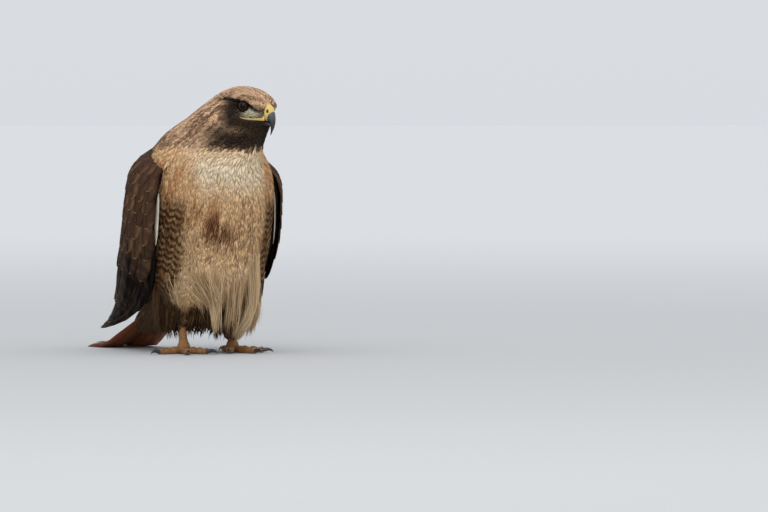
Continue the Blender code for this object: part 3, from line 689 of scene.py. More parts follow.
def cere_look(name):
    """Bare yellow skin, finely grained, with painted shade darkening the pits at the nostrils."""
    look = Look(name, Specular_IOR_Level=0.4, Subsurface_Weight=0.08, Subsurface_Scale=0.001)
    grain = look.noise(900.0, 3.0)
    worn = look.noise(120.0, 2.0)
    ground = look.mix(worn.fade(0.45, 0.75) * 0.5, colours().cere, CERE_WORN)
    ground = look.mix(look.attribute("dark"), ground, NOSTRIL_SHADE)
    return look.finish(Base_Color=ground, Roughness=0.38 + 0.2 * grain, Normal=look.bump(grain, 0.25, 0.0003))


def foot_look(name):
    """Scaled skin: rows of shields in front and small round scales elsewhere."""
    look = Look(name, Specular_IOR_Level=0.4)
    scales = look.node(
        "ShaderNodeTexVoronoi", {"feature": "DISTANCE_TO_EDGE"}, {"Vector": look.place(), "Scale": 620.0}
    )
    groove = 1 - scales.fade(0.0, 0.12)
    worn = look.noise(90.0, 3.0)
    ground = look.mix(worn.fade(0.4, 0.8) * 0.6, colours().foot, FOOT_WORN)
    ground = look.mix(groove * 0.55, ground, FOOT_GROOVE)
    ground = look.mix(look.attribute("seam") * 0.7, ground, FOOT_SEAM)
    normal = look.bump(scales.fade(0.0, 0.2) - look.attribute("seam"), 0.5, 0.0005)
    return look.finish(Base_Color=ground, Roughness=0.48 + 0.2 * groove, Normal=normal)


def eye_look(name):
    """A dark brown iris round a black pupil, under a wet and glossy cornea."""
    look = Look(name, Roughness=0.05, Specular_IOR_Level=0.13)
    off = look.attribute("off_axis")
    rays = ((look.attribute("spin") * 46.0).sine() * 0.5 + 0.5) * look.noise(800.0, 2.0)
    ground = look.mix(rays * 0.6, colours().iris, IRIS_RAY)
    ground = look.mix(off.fade(0.0058, 0.0070), ground, IRIS_RIM)
    ground = look.mix(1 - off.fade(0.0033, 0.0037), ground, PUPIL)
    return look.finish(Base_Color=ground)


def lid_look(name):
    """The bare rim of the lids: olive grey below, and nearly black above with painted shade from the brow."""
    look = Look(name, Specular_IOR_Level=0.3)
    grain = look.noise(1100.0, 2.0)
    low = look.attribute("low").fade(0.45, 0.95)
    # Painted shade from the brow darkens the upper rim
    ground = look.mix(low * (0.6 + 0.4 * grain), LID_BROW_SHADE, LID_LOWER)
    return look.finish(Base_Color=ground, Roughness=0.5 + 0.2 * grain, Normal=look.bump(grain, 0.4, 0.0003))


def floor_look(name):
    """The studio floor with painted light: darker near the bird, where the lamps light it most, and paler far
    away so that no horizon shows.
    """
    look = Look(name, Specular_IOR_Level=0.1)
    grain = look.noise(2.0, 2.0)
    away = look.node("ShaderNodeVectorMath", {"operation": "LENGTH"}, {0: look.place()}, output="Value")
    # Painted light: darker near the bird to offset the lamps, paler far off to hide the horizon
    ground = look.mix(away.fade(0.3, 7.0), colours().floor, FLOOR_FAR_PAINTED_LIGHT)
    ground = look.shade(ground, 0.99 + 0.02 * grain)
    return look.finish(Base_Color=ground, Roughness=0.85 + 0.1 * grain)


# The skin and the markings

FLOW = np.array([
    (-0.118, 0.318), (-0.095, 0.318), (-0.070, 0.310), (-0.048, 0.292), (-0.030, 0.262), (-0.014, 0.220),
    (0.006, 0.175), (0.030, 0.130), (0.062, 0.092), (0.105, 0.062), (0.150, 0.040), (0.180, 0.026),
])


FLOW_STEPS = np.linalg.norm(np.diff(FLOW, axis=0), axis=1)
FLOW_RUN = np.concatenate([[0.0], np.cumsum(FLOW_STEPS)])


def flow_at(points):
    """Which way the plumage lies, and how far down the body a place is, in metres."""
    plain = straightened(points)
    starts, spans = FLOW[:-1], np.diff(FLOW, axis=0)
    offset = plain[:, None, 1:] - starts[None]
    share = np.clip((offset * spans).sum(-1) / (spans**2).sum(-1), 0, 1)
    away = np.linalg.norm(offset - share[..., None] * spans, axis=-1)
    nearest = away.argmin(1)
    run = FLOW_RUN[nearest] + share[np.arange(len(points)), nearest] * FLOW_STEPS[nearest]
    middles = FLOW_RUN[:-1] + FLOW_STEPS / 2
    tangent = np.stack([np.interp(run, middles, unit(spans)[:, k]) for k in (0, 1)], -1)
    way = np.concatenate([np.zeros((len(points), 1)), tangent], 1)
    leg = leg_share(points)[:, None]
    way = way * (1 - leg) + np.array([0.0, 0.1, -1.0]) * leg
    turn = HEAD_TURN * fade(points[:, 2], 0.250, 0.290)
    x = way[:, 0] * np.cos(turn) - way[:, 1] * np.sin(turn)
    y = way[:, 0] * np.sin(turn) + way[:, 1] * np.cos(turn)
    return unit(np.stack([x, y, way[:, 2]], -1)), run


def brow_height(head_y):
    """The height of the brow's lower edge at a place of the straight head."""
    forward, height = np.array(BROW).T
    return np.interp(-head_y, -forward, height)


def eye_distance(plain):
    """How far places of the straight head are from the middle of the nearer eye."""
    mirrored = np.column_stack([np.abs(plain[:, 0]), plain[:, 1:]])
    return np.linalg.norm(mirrored - EYE, axis=1)


def leg_share(points):
    """1 on the lower part of either leg, 0 on the body."""
    x, y, z = np.abs(points[:, 0]), points[:, 1], points[:, 2]
    round_leg = np.hypot((x - 0.040) / 0.034, (y + 0.004) / 0.050)
    return (1 - fade(z, 0.060, 0.100)) * (1 - fade(round_leg, 0.9, 1.2))


def round_body(points, run):
    """How far round the body a place is, from 0 at the back by its right side to 1."""
    plain = straightened(points)
    spine = np.stack([np.interp(run, FLOW_RUN, FLOW[:, k]) for k in (0, 1)], -1)
    back = plain[:, 1] - spine[:, 0] + 0.5 * (plain[:, 2] - spine[:, 1])
    return np.arctan2(plain[:, 0], -back) / (2 * math.pi) + 0.5


def patchwork(around, down, columns, rows, seed):
    """Smooth random numbers over the laid-flat skin, in cells of a chosen size."""
    grid = np.random.default_rng(seed).random((columns + 1, rows + 2))
    grid[-1] = grid[0]
    u, v = np.clip(around, 0, 0.99999) * columns, np.clip(down, 0, 0.99999) * rows
    i, j = u.astype(int), v.astype(int)
    u, v = fade(u - i, 0, 1), fade(v - j, 0, 1)
    near = grid[i, j] * (1 - u) + grid[i + 1, j] * u
    far = grid[i, j + 1] * (1 - u) + grid[i + 1, j + 1] * u
    return near * (1 - v) + far * v


def flank_columns(around):
    """How the bars of the flank bend within each column of feathers, and its dark borders."""
    column = around * FLANK_COLUMNS
    inside = column - np.floor(column)
    off_middle = np.abs(2 * inside - 1)
    return 0.42 * off_middle**2 + 0.3 * (np.floor(column) % 2), fade(off_middle, 0.80, 1.0)


def unwrap(points, run):
    """The skin laid flat: round the body by along it, with a strip for each leg."""
    body = np.stack([0.02 + 0.60 * round_body(points, run), 0.02 + 0.96 * run / FLOW_RUN[-1]], -1)
    side = np.sign(points[:, 0])
    leg_angle = np.arctan2(points[:, 0] - 0.040 * side, -(points[:, 1] + 0.004))
    strip = 0.74 + 0.16 * (side > 0) + 0.14 * leg_angle / (2 * math.pi)
    leg = np.stack([strip, 0.05 + 6.0 * np.clip(points[:, 2], 0, 0.15)], -1)
    return np.where((leg_share(points) > 0.5)[:, None], leg, body)


def markings(points, normals):
    """How much of each marking of the plumage a place carries, and how much painted shade it gets under the
    brow and the body.
    """
    x, y, z = points.T
    plain = straightened(points)
    head_side, head_y, head_z = np.abs(plain[:, 0]), plain[:, 1], plain[:, 2]
    dorsal = fade(normals[:, 1] * 0.89 + normals[:, 2] * 0.45, 0.05, 0.45) * (1 - fade(z, 0.262, 0.300))
    dorsal = dorsal * fade(z - 0.42 * np.maximum(y, 0) + 0.03, 0.0, 0.02)
    border = 0.2655 + 0.13 * (y + 0.10)
    hood = np.maximum(fade(z - border, -0.012, 0.008), dorsal)

    over_brow = head_z - brow_height(head_y)
    face = fade(-head_y, 0.060, 0.084) * (1 - fade(over_brow, -0.0008, 0.0014))
    face = face * (1 - fade(-head_y, 0.110, 0.116) * fade(head_z, 0.316, 0.320))
    throat = fade(-y, 0.055, 0.085) * (1 - fade(z, 0.290, 0.310)) * 0.95
    face = np.maximum(face, throat) * hood
    # A painted shadow below the edge of the brow, and painted shade in the hollow round the eye
    brow = mound(over_brow, -0.0026, 0.0026) * fade(-head_y, 0.050, 0.072) * (1 - fade(-head_y, 0.112, 0.118))
    brow = np.maximum(brow, 1 - fade(eye_distance(plain), EYE_CLEAR, 0.0122))
    crown = fade(over_brow, 0.0, 0.004) * (0.35 + 0.65 * fade(normals[:, 2], 0.35, 0.80))
    crown = crown * fade(head_z, 0.300, 0.325) * (1 - 0.5 * fade(-head_y, 0.098, 0.112))
    crown = crown + (0.5 + 0.4 * mound(z, 0.272, 0.016)) * fade(y, -0.085, -0.050)
    malar = np.exp(-(((head_y + 0.087) / 0.010) ** 2) - ((head_z - 0.2905) / 0.0045) ** 2) * 0.6
    lore = 1.2 * np.exp(-(((head_y + 0.1070) / 0.0085) ** 2) - ((head_z - 0.3125) / 0.0050) ** 2)
    lore = lore * (1 - brow) * fade(head_side, 0.006, 0.010)

    # The breast is turned a little to the bird's right, so its pattern is as well
    aside = np.abs(x + 0.012)
    flank = fade(aside, 0.045, 0.058)
    low = 1 - fade(z, 0.080, 0.115)
    cream = mound(z, 0.238, 0.026) * (1 - 0.9 * fade(aside, 0.030, 0.056)) + 0.30 * mound(z, 0.095, 0.022)
    cream = cream * (1 - fade(aside, 0.050, 0.066))
    rufous = fade(aside, 0.030, 0.056) * mound(z, 0.230, 0.036)
    rufous = rufous + 0.8 * mound(x, -0.034, 0.024) * mound(z, 0.180, 0.030)
    rufous = rufous + 0.35 * mound(z, 0.180, 0.036)
    band = 1.3 * mound(x, -0.033, 0.014) * mound(z, 0.166, 0.017)
    band = band + 0.8 * mound(x, -0.018, 0.012) * mound(z, 0.148, 0.018)
    streak = 0.33 * mound(z, 0.160, 0.032) + 0.12 * fade(x, -0.010, 0.020) * mound(z, 0.170, 0.040)
    streak = streak + 0.16 * mound(x, -0.058, 0.014) * mound(z, 0.185, 0.030)
    streak = streak + 0.10 * mound(z, 0.115, 0.020) + 0.06 * mound(z - border, -0.004, 0.010) - 0.03
    bars = flank * (1 - fade(z, 0.186, 0.215))
    bars = bars + 0.30 * (1 - fade(z, 0.135, 0.170)) * fade(aside, 0.028, 0.045)
    # Painted shade round the vent, under the belly and low by the floor, less on the bird's left
    dusk = 0.9 * fade(y, -0.034, 0.004) * (1 - fade(z, 0.070, 0.115)) * (1 - dorsal)
    dusk = np.maximum(dusk, 0.85 * (1 - fade(z, 0.052, 0.072)) * (1 - 0.9 * fade(x, 0.010, 0.030)))
    _, run = flow_at(points)
    around = round_body(points, run)
    down = run / FLOW_RUN[-1]
    tone = 0.62 * patchwork(around, down, 96, 24, SEEDS["fine"])
    tone = tone + 0.38 * patchwork(around, down, 34, 11, SEEDS["broad"])
    arc, border_here = flank_columns(around)
    found = {
        "dorsal": dorsal, "hood": hood, "face": face, "brow": brow, "crown": crown, "malar": malar,
        "lore": lore, "cream": cream, "rufous": rufous, "band": band, "streak": streak,
        "bars": bars * fade(z, 0.058, 0.080), "low": low, "dusk": dusk, "tone": fade(tone, 0.22, 0.78),
        "arc": arc, "gap": border_here,
    }
    return {name: np.clip(values, 0, 1) for name, values in found.items()}


def coat_depth_at(points):
    """How thick the feathers lie at a place, thin on the face and at the ankle."""
    plain = straightened(points)
    face = fade(-plain[:, 1], 0.050, 0.085) * fade(points[:, 2], 0.270, 0.290)
    ankle = 1 - fade(points[:, 2], 0.030, 0.060)
    deep = sizes().coat_depth * (1 - 0.45 * fade(points[:, 2], 0.270, 0.300))
    depth = deep * (1 - face) + sizes().face_depth * face
    return depth * (1 - 0.5 * ankle)


def brow_ridge(points):
    """How far the brow juts out over the eye, and the lores sink in before it."""
    plain = straightened(points)
    over_brow = plain[:, 2] - brow_height(plain[:, 1])
    reach = fade(-plain[:, 1], 0.070, 0.086) * fade(np.abs(plain[:, 0]), 0.006, 0.012)
    ridge = 0.0022 * mound(over_brow, 0.0008, 0.0030) * reach
    lore = np.exp(-(((plain[:, 1] + 0.1065) / 0.006) ** 2) - ((plain[:, 2] - 0.3130) / 0.0045) ** 2)
    return ridge - 0.0010 * lore * fade(np.abs(plain[:, 0]), 0.006, 0.012)


def mesh_arrays(mesh):
    """The places and normals of a mesh's points."""
    points = np.empty(len(mesh.vertices) * 3, np.float32)
    mesh.vertices.foreach_get("co", points)
    normals = np.empty(len(mesh.vertices) * 3, np.float32)
    mesh.vertices.foreach_get("normal", normals)
    return points.reshape(-1, 3).astype(float), normals.reshape(-1, 3).astype(float)


def moved(mesh, places):
    """The places and normals of a mesh whose points are moved."""
    mesh.vertices.foreach_set("co", places.astype(np.float32).ravel())
    mesh.update()
    return mesh_arrays(mesh)


def solid_tree(name):
    """A solid of the frame as a search tree, in the bird's own frame."""
    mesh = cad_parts[name].data
    points, _ = mesh_arrays(mesh)
    return BVHTree.FromPolygons((points - SHIFT).tolist(), [tuple(p.vertices) for p in mesh.polygons])


def remeshed(points, faces, voxel):
    """One closed surface round overlapping closed forms, as places and square faces."""
    mesh = bpy.data.meshes.new("draft")
    mesh.from_pydata([tuple(p) for p in points], [], [tuple(f) for f in faces])
    draft = bpy.data.objects.new("draft", mesh)
    bpy.context.scene.collection.objects.link(draft)
    modifier = draft.modifiers.new("grain", "REMESH")
    modifier.mode = "VOXEL"
    modifier.voxel_size = voxel
    bpy.context.view_layer.update()
    made = bpy.data.meshes.new_from_object(draft.evaluated_get(bpy.context.evaluated_depsgraph_get()))
    bpy.data.objects.remove(draft)
    bpy.data.meshes.remove(mesh)
    return made


def relaxed(points, edges, rounds, weight):
    """Places moved towards the middle of their neighbours, by a weight for each."""
    weight = np.broadcast_to(weight, len(points))[:, None]
    degree = np.bincount(edges.ravel(), minlength=len(points))[:, None]
    for _ in range(rounds):
        total = np.zeros_like(points)
        for axis in range(3):
            total[:, axis] = np.bincount(edges[:, 0], points[edges[:, 1], axis], len(points))
            total[:, axis] += np.bincount(edges[:, 1], points[edges[:, 0], axis], len(points))
        points = points + 0.5 * weight * (total / np.maximum(degree, 1) - points)
    return points


class Skin:
    """The skin under the plumage, with what is needed to root feathers on it."""

    def __init__(self):
        points, faces = [], []
        count = 0
        for name in FLESH:
            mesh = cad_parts[name].data
            own, normals = mesh_arrays(mesh)
            points.append(own - SHIFT + normals * SKIN_LIFT)
            faces += [[v + count for v in polygon.vertices] for polygon in mesh.polygons]
            count += len(own)
        root = section_rings(TAIL_ROOT, np.linspace(0, len(TAIL_ROOT) - 1, 9), 24)
        points.append(root.reshape(-1, 3))
        faces += [[v + count for v in face] for face in tube_faces(1, *root.shape[:2]).tolist()]
        made = remeshed(np.concatenate(points), faces, sizes().voxel)
        edges = np.empty(len(made.edges) * 2, np.int32)
        made.edges.foreach_get("vertices", edges)
        places, normals = mesh_arrays(made)
        plain = straightened(places)
        face_share = fade(-plain[:, 1], 0.060, 0.085) * fade(places[:, 2], 0.275, 0.295)
        places, normals = moved(made, relaxed(places, edges.reshape(-1, 2), 10, 1 - 0.85 * face_share))
        sink = EYE_SINK * (1 - fade(eye_distance(straightened(places)), 0.0088, 0.0120))
        places, normals = moved(made, places + normals * (brow_ridge(places) - sink)[:, None])
        self.points = places - normals * coat_depth_at(places)[:, None]
        self.normals = normals
        self.faces = np.array([tuple(p.vertices) for p in made.polygons], np.int32)
        bpy.data.meshes.remove(made)
        self.tree = BVHTree.FromPolygons(self.points.tolist(), self.faces.tolist())
        self.face_normals = unit(normals[self.faces].mean(1))

    def scattered(self, count, rng):
        """Random places all over the skin, with their smooth normals."""
        corners = self.points[self.faces]
        diagonals = corners[:, 2] - corners[:, 0], corners[:, 3] - corners[:, 1]
        area = np.linalg.norm(np.cross(*diagonals), axis=1) / 2
        chosen = rng.choice(len(area), count, p=area / area.sum())
        u, v = rng.random((2, count, 1))

        def between(values):
            """Values inside the chosen faces, from those at their four corners."""
            a, b, c, d = (values[self.faces[chosen, k]] for k in range(4))
            return (a * (1 - u) + b * u) * (1 - v) + (d * (1 - u) + c * u) * v

        return between(self.points), unit(between(self.normals))

    def nearest(self, points):
        """The nearest places of the skin, with its normals there."""
        places, normals = np.empty_like(points), np.empty_like(points)
        for i, point in enumerate(points):
            place, _, face, _ = self.tree.find_nearest(point)
            places[i] = place
            normals[i] = self.face_normals[face]
        return places, normals


SKIN = {}


def skin():
    """The one skin, formed the first time that it is asked for."""
    if "form" not in SKIN:
        SKIN["form"] = Skin()
    return SKIN["form"]


def skin_uv(points, faces, run):
    """Flat places for each corner of the skin, kept whole where the unwrap's edge is."""
    flat = unwrap(points, run)[faces]
    wide = flat[..., 0].max(1) - flat[..., 0].min(1) > 0.3
    rows = flat[wide]
    rows[..., 0] = np.where(rows[..., 0] < 0.32, rows[..., 0] + 0.60, rows[..., 0])
    flat[wide] = rows
    return flat


# Feathers

def spread(places, gap, rng):
    """Which of the random places to keep, so that about one stands in each gap's cube."""
    order = rng.permutation(len(places))
    cells = np.floor(places[order] / gap[order, None]).astype(np.int64)
    size = np.round(gap[order] * 1e5).astype(np.int64)[:, None]
    _, first = np.unique(np.concatenate([cells, size], 1), axis=0, return_index=True)
    return order[first]


# A body feather's places from root to tip, with its width there if pointed or if rounded
STATIONS = np.array([0.0, 0.38, 0.76, 1.0])
POINTED = np.array([0.45, 1.0, 0.62, 0.06])
ROUNDED = np.array([0.50, 0.95, 0.98, 0.30])
# Across a ring of four points: one edge, the ridge, the other edge, the underside
DIAMOND = np.array([-1.0, 0.0, 1.0, 0.0])
# How much of the coat's depth a feather has at its root
ROOT_RISE = 0.12
# How wide each feather's patch of the flat skin is
PATCH = 0.003


def vane_section(middle, aside, over, under):
    """Rings of four points: a thin vane's two edges, its ridge and its underside."""
    return np.stack([middle - aside, middle + over, middle + aside, middle + under], 2)


def vane_piece(name, rings, stations, across, seeds, material, extra, roots=None):
    """Many vanes as one piece, each with a small flat patch set out by where its root stands.

    An extra field holds a single number, or one for each vane, each ring or each point.
    """
    per_vane = len(stations) * len(across)
    total = per_vane * len(rings)
    fields = {
        "along": np.tile(np.repeat(stations, len(across)), len(rings)),
        "across": np.tile(across, len(rings) * len(stations)),
        "seed": np.repeat(seeds, per_vane),
    }
    for key, values in extra.items():
        fields[key] = np.repeat(values, total // np.size(values))
    roots = rings[:, 0].mean(1) if roots is None else roots
    _, run = flow_at(roots)
    patch = np.stack([fields["across"] * PATCH / 2, (fields["along"] - 0.5) * PATCH], -1)
    flat = np.repeat(unwrap(roots, run), per_vane, 0) + patch
    return ring_piece(name, rings, material, fields, flat)


def plumes(name, roots, normals, ways, style, material, rng):
    """Small body feathers that follow the skin, each a thin closed vane."""
    centres, tops = [roots], [normals]
    way, here, up = ways, roots, normals
    for step in np.diff(STATIONS):
        way = unit(way - up * (way * up).sum(1, keepdims=True))
        here, up = skin().nearest(here + way * (style["length"] * step)[:, None])
        up = unit(up)
        centres.append(here)
        tops.append(up)
    centres, tops = np.stack(centres, 1), np.stack(tops, 1)
    onward = unit(np.gradient(centres, axis=1))
    tops = unit(tops + np.cross(onward, tops) * style["roll"][:, None, None])
    sides = unit(np.cross(tops, onward))
    rise = style["depth"][:, None] * (ROOT_RISE + (1 - ROOT_RISE) * STATIONS**0.8)
    centres = centres + tops * rise[..., None]
    outline = POINTED * (1 - style["blunt"][:, None]) + ROUNDED * style["blunt"][:, None]
    half = style["width"][:, None] * outline / 2
    camber = half * 0.11 + 0.00010
    underside = camber * 0.35 - 0.00018
    rings = vane_section(
        centres, sides * half[..., None], tops * camber[..., None], tops * underside[..., None]
    )
    # A body feather shows near its tip, so it carries the markings of that place
    head_share = fade(roots[:, 2], 0.268, 0.285)[:, None]
    shown = centres[:, 2] * (1 - head_share) + roots * head_share
    extra = markings(shown, tops[:, 2])
    line = centres.reshape(-1, 3)
    _, run = flow_at(line)
    arc, border = flank_columns(round_body(line, run))
    extra.update(run=run, arc=arc, gap=border)
    return vane_piece(name, rings, STATIONS, DIAMOND, rng.random(len(roots)), material, extra, roots)


def body_roots(rng):
    """Where the body feathers are rooted, with their direction and shape."""
    form = skin()
    places, normals = form.scattered(SCATTERED, rng)
    plain = straightened(places)
    height = places[:, 2]
    leg = leg_share(places)
    headward = fade(height, 0.255, 0.290)
    face = fade(-plain[:, 1], 0.062, 0.085) * fade(height, 0.275, 0.290)
    gap = sizes().breast_gap * (1 - headward) + sizes().head_gap * headward
    gap = gap * (1 - 0.40 * face)
    gap = np.round(gap / 0.0003) * 0.0003
    keep = spread(places, gap, rng)
    places, normals, plain, height = places[keep], normals[keep], plain[keep], height[keep]
    leg, headward, face = leg[keep], headward[keep], face[keep]
    bare = (eye_distance(plain) < EYE_CLEAR) | (height < ROOT_LOWEST)
    by_bill = (plain[:, 1] < -0.1150) & (np.abs(plain[:, 0]) < 0.0082)
    bare |= by_bill & (plain[:, 2] > 0.302) & (plain[:, 2] < 0.3225)
    hidden = under_wing(places, normals)
    keep = ~(bare | hidden)
    return [values[keep] for values in (places, normals, height, leg, headward, face)]


def under_wing(places, normals):
    """True where the folded wing lies close over the skin, so that no feather shows."""
    covered = np.zeros(len(places), bool)
    for side, _ in SIDES:
        tree = solid_tree("wing_" + side)
        for i in np.flatnonzero(~covered):
            if -0.03 < places[i][1] < 0.18:
                covered[i] = tree.ray_cast(places[i] + normals[i] * 0.001, normals[i], 0.016)[0] is not None
    return covered


COATS = ("coat_head", "coat_neck", "coat_breast", "coat_belly", "coat_legs", "coat_rump")


class HAWK_OT_plumage(bpy.types.Operator):
    """Cover the skin with body feathers"""

    bl_idname = "hawk.plumage"
    bl_label = "Body plumage"

    def execute(self, context):
        rng = np.random.default_rng(SEEDS["plumage"])
        size = sizes()
        places, normals, height, leg, headward, face = body_roots(rng)
        ways, run = flow_at(places)
        count = len(places)
        marks = markings(places, normals)
        dorsal, low = marks["dorsal"], marks["low"]
        swing = rng.normal(0, 0.16, count)[:, None]
        ways = unit(ways + np.cross(normals, ways) * swing)
        length_here = size.breast_length * (1 - headward) + size.head_length * headward
        length_here = length_here * (1 - 0.58 * face)
        vent = fade(places[:, 1], 0.060, 0.100) * (1 - dorsal)
        cape = fade(height, 0.252, 0.266) * (1 - fade(height, 0.290, 0.310))
        cape = cape * fade(places[:, 1], -0.045, -0.010)
        length_here = length_here * (1 + 0.5 * vent + 1.1 * cape * headward)
        ankle = 1 - fade(height, 0.020, 0.060)
        length_here = length_here * (1 - 0.55 * ankle) * rng.uniform(0.8, 1.25, count)
        clear = np.maximum(eye_distance(straightened(places)) - 0.0086, 0.0012)
        length_here = np.minimum(length_here, np.where(clear < 0.008, clear, 1.0))
        drop = np.maximum(-ways[:, 2], 0.05)
        length_here = np.minimum(length_here, (height - 0.005) / drop)
        flank = marks["bars"] * (1 - headward)
        width = size.breast_width * (1 - 0.35 * headward - 0.33 * face) * (1 - 0.25 * low)
        width = width * (1 + 1.0 * dorsal + 0.2 * flank + 0.8 * cape)
        style = {
            "length": length_here,
            "width": width * rng.uniform(0.8, 1.25, count),
            "depth": coat_depth_at(places) * rng.uniform(0.97, 1.06, count) + 0.0055 * cape,
            "roll": rng.normal(0, 0.06, count),
            "blunt": np.clip(0.25 + 0.6 * dorsal + 0.2 * headward + 0.3 * flank - 0.2 * low, 0, 1),
        }
        kind = np.full(count, 2)
        kind[height < 0.150] = 3
        kind[leg > 0.5] = 4
        kind[(dorsal > 0.5) | (run > 0.80 * FLOW_RUN[-1])] = 5
        kind[headward > 0.10] = 1
        kind[(headward > 0.80) & (places[:, 1] < -0.030)] = 0
        material = body_plumage("body_plumage")
        for number, name in enumerate(COATS):
            chosen = kind == number
            own = {key: values[chosen] for key, values in style.items()}
            plumes(name, places[chosen], normals[chosen], ways[chosen], own, material, rng)
        return {"FINISHED"}


# The loose plumes under the belly: both ends of the line of roots, the middle of the tips, how
# widely the tips stand, a bow to the left, how many strands, how wide, how pale, and how much painted shade
# darkens them
PLUMES = {
    "belly_edge": (
        (-0.062, -0.028, 0.110), (-0.026, -0.066, 0.116), (-0.028, -0.058, 0.066),
        0.030, 0.0, 170, 0.65, 0.35, 0.0,
    ),
    "belly_side": (
        (-0.066, -0.018, 0.100), (-0.058, -0.034, 0.100), (-0.059, -0.028, 0.070),
        0.006, 0.0, 30, 0.6, 0.60, 0.0,
    ),
    "front_short": (
        (-0.034, -0.064, 0.108), (-0.010, -0.070, 0.108), (-0.018, -0.054, 0.036),
        0.005, 0.0, 150, 0.7, 0.75, 0.0,
    ),
    "front_long": (
        (0.018, -0.076, 0.136), (0.034, -0.070, 0.134), (0.017, -0.046, 0.020),
        0.006, 0.30, 120, 0.75, 0.80, 0.0,
    ),
    "front_inner": (
        (-0.006, -0.070, 0.104), (0.016, -0.070, 0.104), (0.006, -0.050, 0.038),
        0.018, 0.05, 130, 0.8, 0.40, 0.20,
    ),
    "front_stray": (
        (0.026, -0.060, 0.100), (0.044, -0.050, 0.096), (0.046, -0.046, 0.046),
        0.014, 0.15, 40, 0.5, 0.75, 0.0,
    ),
    "front_side": (
        (0.030, -0.056, 0.090), (0.050, -0.036, 0.088), (0.044, -0.036, 0.040),
        0.018, 0.0, 140, 0.9, 0.45, 0.05,
    ),
    "between_legs": (
        (-0.020, -0.030, 0.068), (0.030, -0.030, 0.066), (0.006, -0.022, 0.034),
        0.050, 0.0, 220, 1.0, 0.08, 0.80,
    ),
    "left_trouser": (
        (0.018, -0.026, 0.068), (0.062, -0.020, 0.068), (0.042, -0.018, 0.030),
        0.034, 0.0, 240, 1.0, 0.65, 0.0,
    ),
    "right_trouser": (
        (-0.062, -0.008, 0.074), (-0.014, -0.018, 0.066), (-0.036, 0.002, 0.036),
        0.044, 0.0, 240, 1.0, 0.08, 0.85,
    ),
    "right_flag": (
        (-0.066, 0.014, 0.080), (-0.020, 0.012, 0.066), (-0.042, 0.026, 0.025),
        0.040, 0.0, 240, 1.1, 0.05, 0.90,
    ),
    "left_flag": (
        (0.020, 0.012, 0.066), (0.066, 0.014, 0.080), (0.042, 0.026, 0.025),
        0.040, 0.0, 220, 1.1, 0.05, 0.90,
    ),
    "middle_flag": (
        (-0.026, 0.004, 0.062), (0.026, 0.004, 0.062), (0.0, 0.012, 0.031),
        0.050, 0.0, 200, 1.1, 0.05, 0.85,
    ),
}
STRAND_STATIONS = np.array([0.0, 0.18, 0.40, 0.62, 0.82, 1.0])
STRAND_OUTLINE = np.array([0.55, 1.0, 1.0, 0.80, 0.48, 0.05])
# How far roots and tips stray from their lines, and how high above the floor the tips end
ROOT_STRAY = [0.0015, 0.0015, 0.0085]
TIP_STRAY = [0.0018, 0.0030, 0.0065]
TIP_HEIGHTS = (0.0125, 0.0225)
# How many neighbouring strands share about one shade
CLUMP = 12


def strands(first, last, tip, spread_wide, bow, count, width, rng):
    """The rings of a lock of soft strands that leave the coat and draw together."""
    first, last, tip = (np.array(place) for place in (first, last, tip))
    share = (np.arange(count) + rng.uniform(0, 1, count)) / count
    line = first + (last - first) * share[:, None]
    line = line + rng.normal(0, 1, (count, 3)) * ROOT_STRAY
    roots, normals = skin().nearest(line)
    roots = roots + normals * sizes().coat_depth * rng.uniform(0.1, 0.8, count)[:, None]
    onward = unit(last - first) * (share - 0.5)[:, None] * spread_wide
    tips = tip + onward + rng.normal(0, 1, (count, 3)) * TIP_STRAY
    tips[:, 2] = np.maximum(tips[:, 2], rng.uniform(*TIP_HEIGHTS, count))
    reach = np.linalg.norm(tips - roots, axis=1)[:, None]
    ways, _ = flow_at(roots)
    leave = roots + (unit(ways + normals * 0.10) * 0.40 + normals * 0.05) * reach
    arrive = tips + np.array([bow, -0.02, 0.30]) * reach + rng.normal(0, 0.0016, (count, 3))
    t = STRAND_STATIONS[:, None]
    path = (
        roots[:, None] * (1 - t) ** 3 + leave[:, None] * 3 * t * (1 - t) ** 2
        + arrive[:, None] * 3 * t**2 * (1 - t) + tips[:, None] * t**3
    )
    along_strand = unit(np.gradient(path, axis=1))
    facing = unit(normals * [1, 1, 0.2] + rng.normal(0, 0.25, (count, 3)))[:, None]
    sides = unit(np.cross(facing, along_strand))
    over = np.cross(along_strand, sides)
    half = (width * rng.uniform(0.7, 1.3, count))[:, None] * STRAND_OUTLINE / 2
    over = over * (half * 0.35 + 0.00008)[..., None]
    return vane_section(path, sides * half[..., None], over, -over)


class HAWK_OT_plumes(bpy.types.Operator):
    """Hang the loose plumes below the belly and round the legs"""

    bl_idname = "hawk.plumes"
    bl_label = "Loose plumes"

    def execute(self, context):
        rng = np.random.default_rng(SEEDS["plumes"])
        material = wisp_look("wisps")
        for name, (first, last, tip, wide, bow, count, width, pale, dark) in PLUMES.items():
            rings = strands(first, last, tip, wide, bow, count, width * sizes().wisp_width, rng)
            seeds = self.shades(count, rng)
            extra = {"pale": pale, "dark": dark}
            vane_piece("plume_" + name, rings, STRAND_STATIONS, DIAMOND, seeds, material, extra)
        return {"FINISHED"}

    def shades(self, count, rng):
        """One shade for each strand, much alike within a clump of neighbours."""
        marks = np.arange(0, count + CLUMP, CLUMP)
        drawn = rng.random(count // CLUMP + 2)[: len(marks)]
        return np.clip(0.7 * np.interp(np.arange(count), marks, drawn) + 0.3 * rng.random(count), 0, 1)


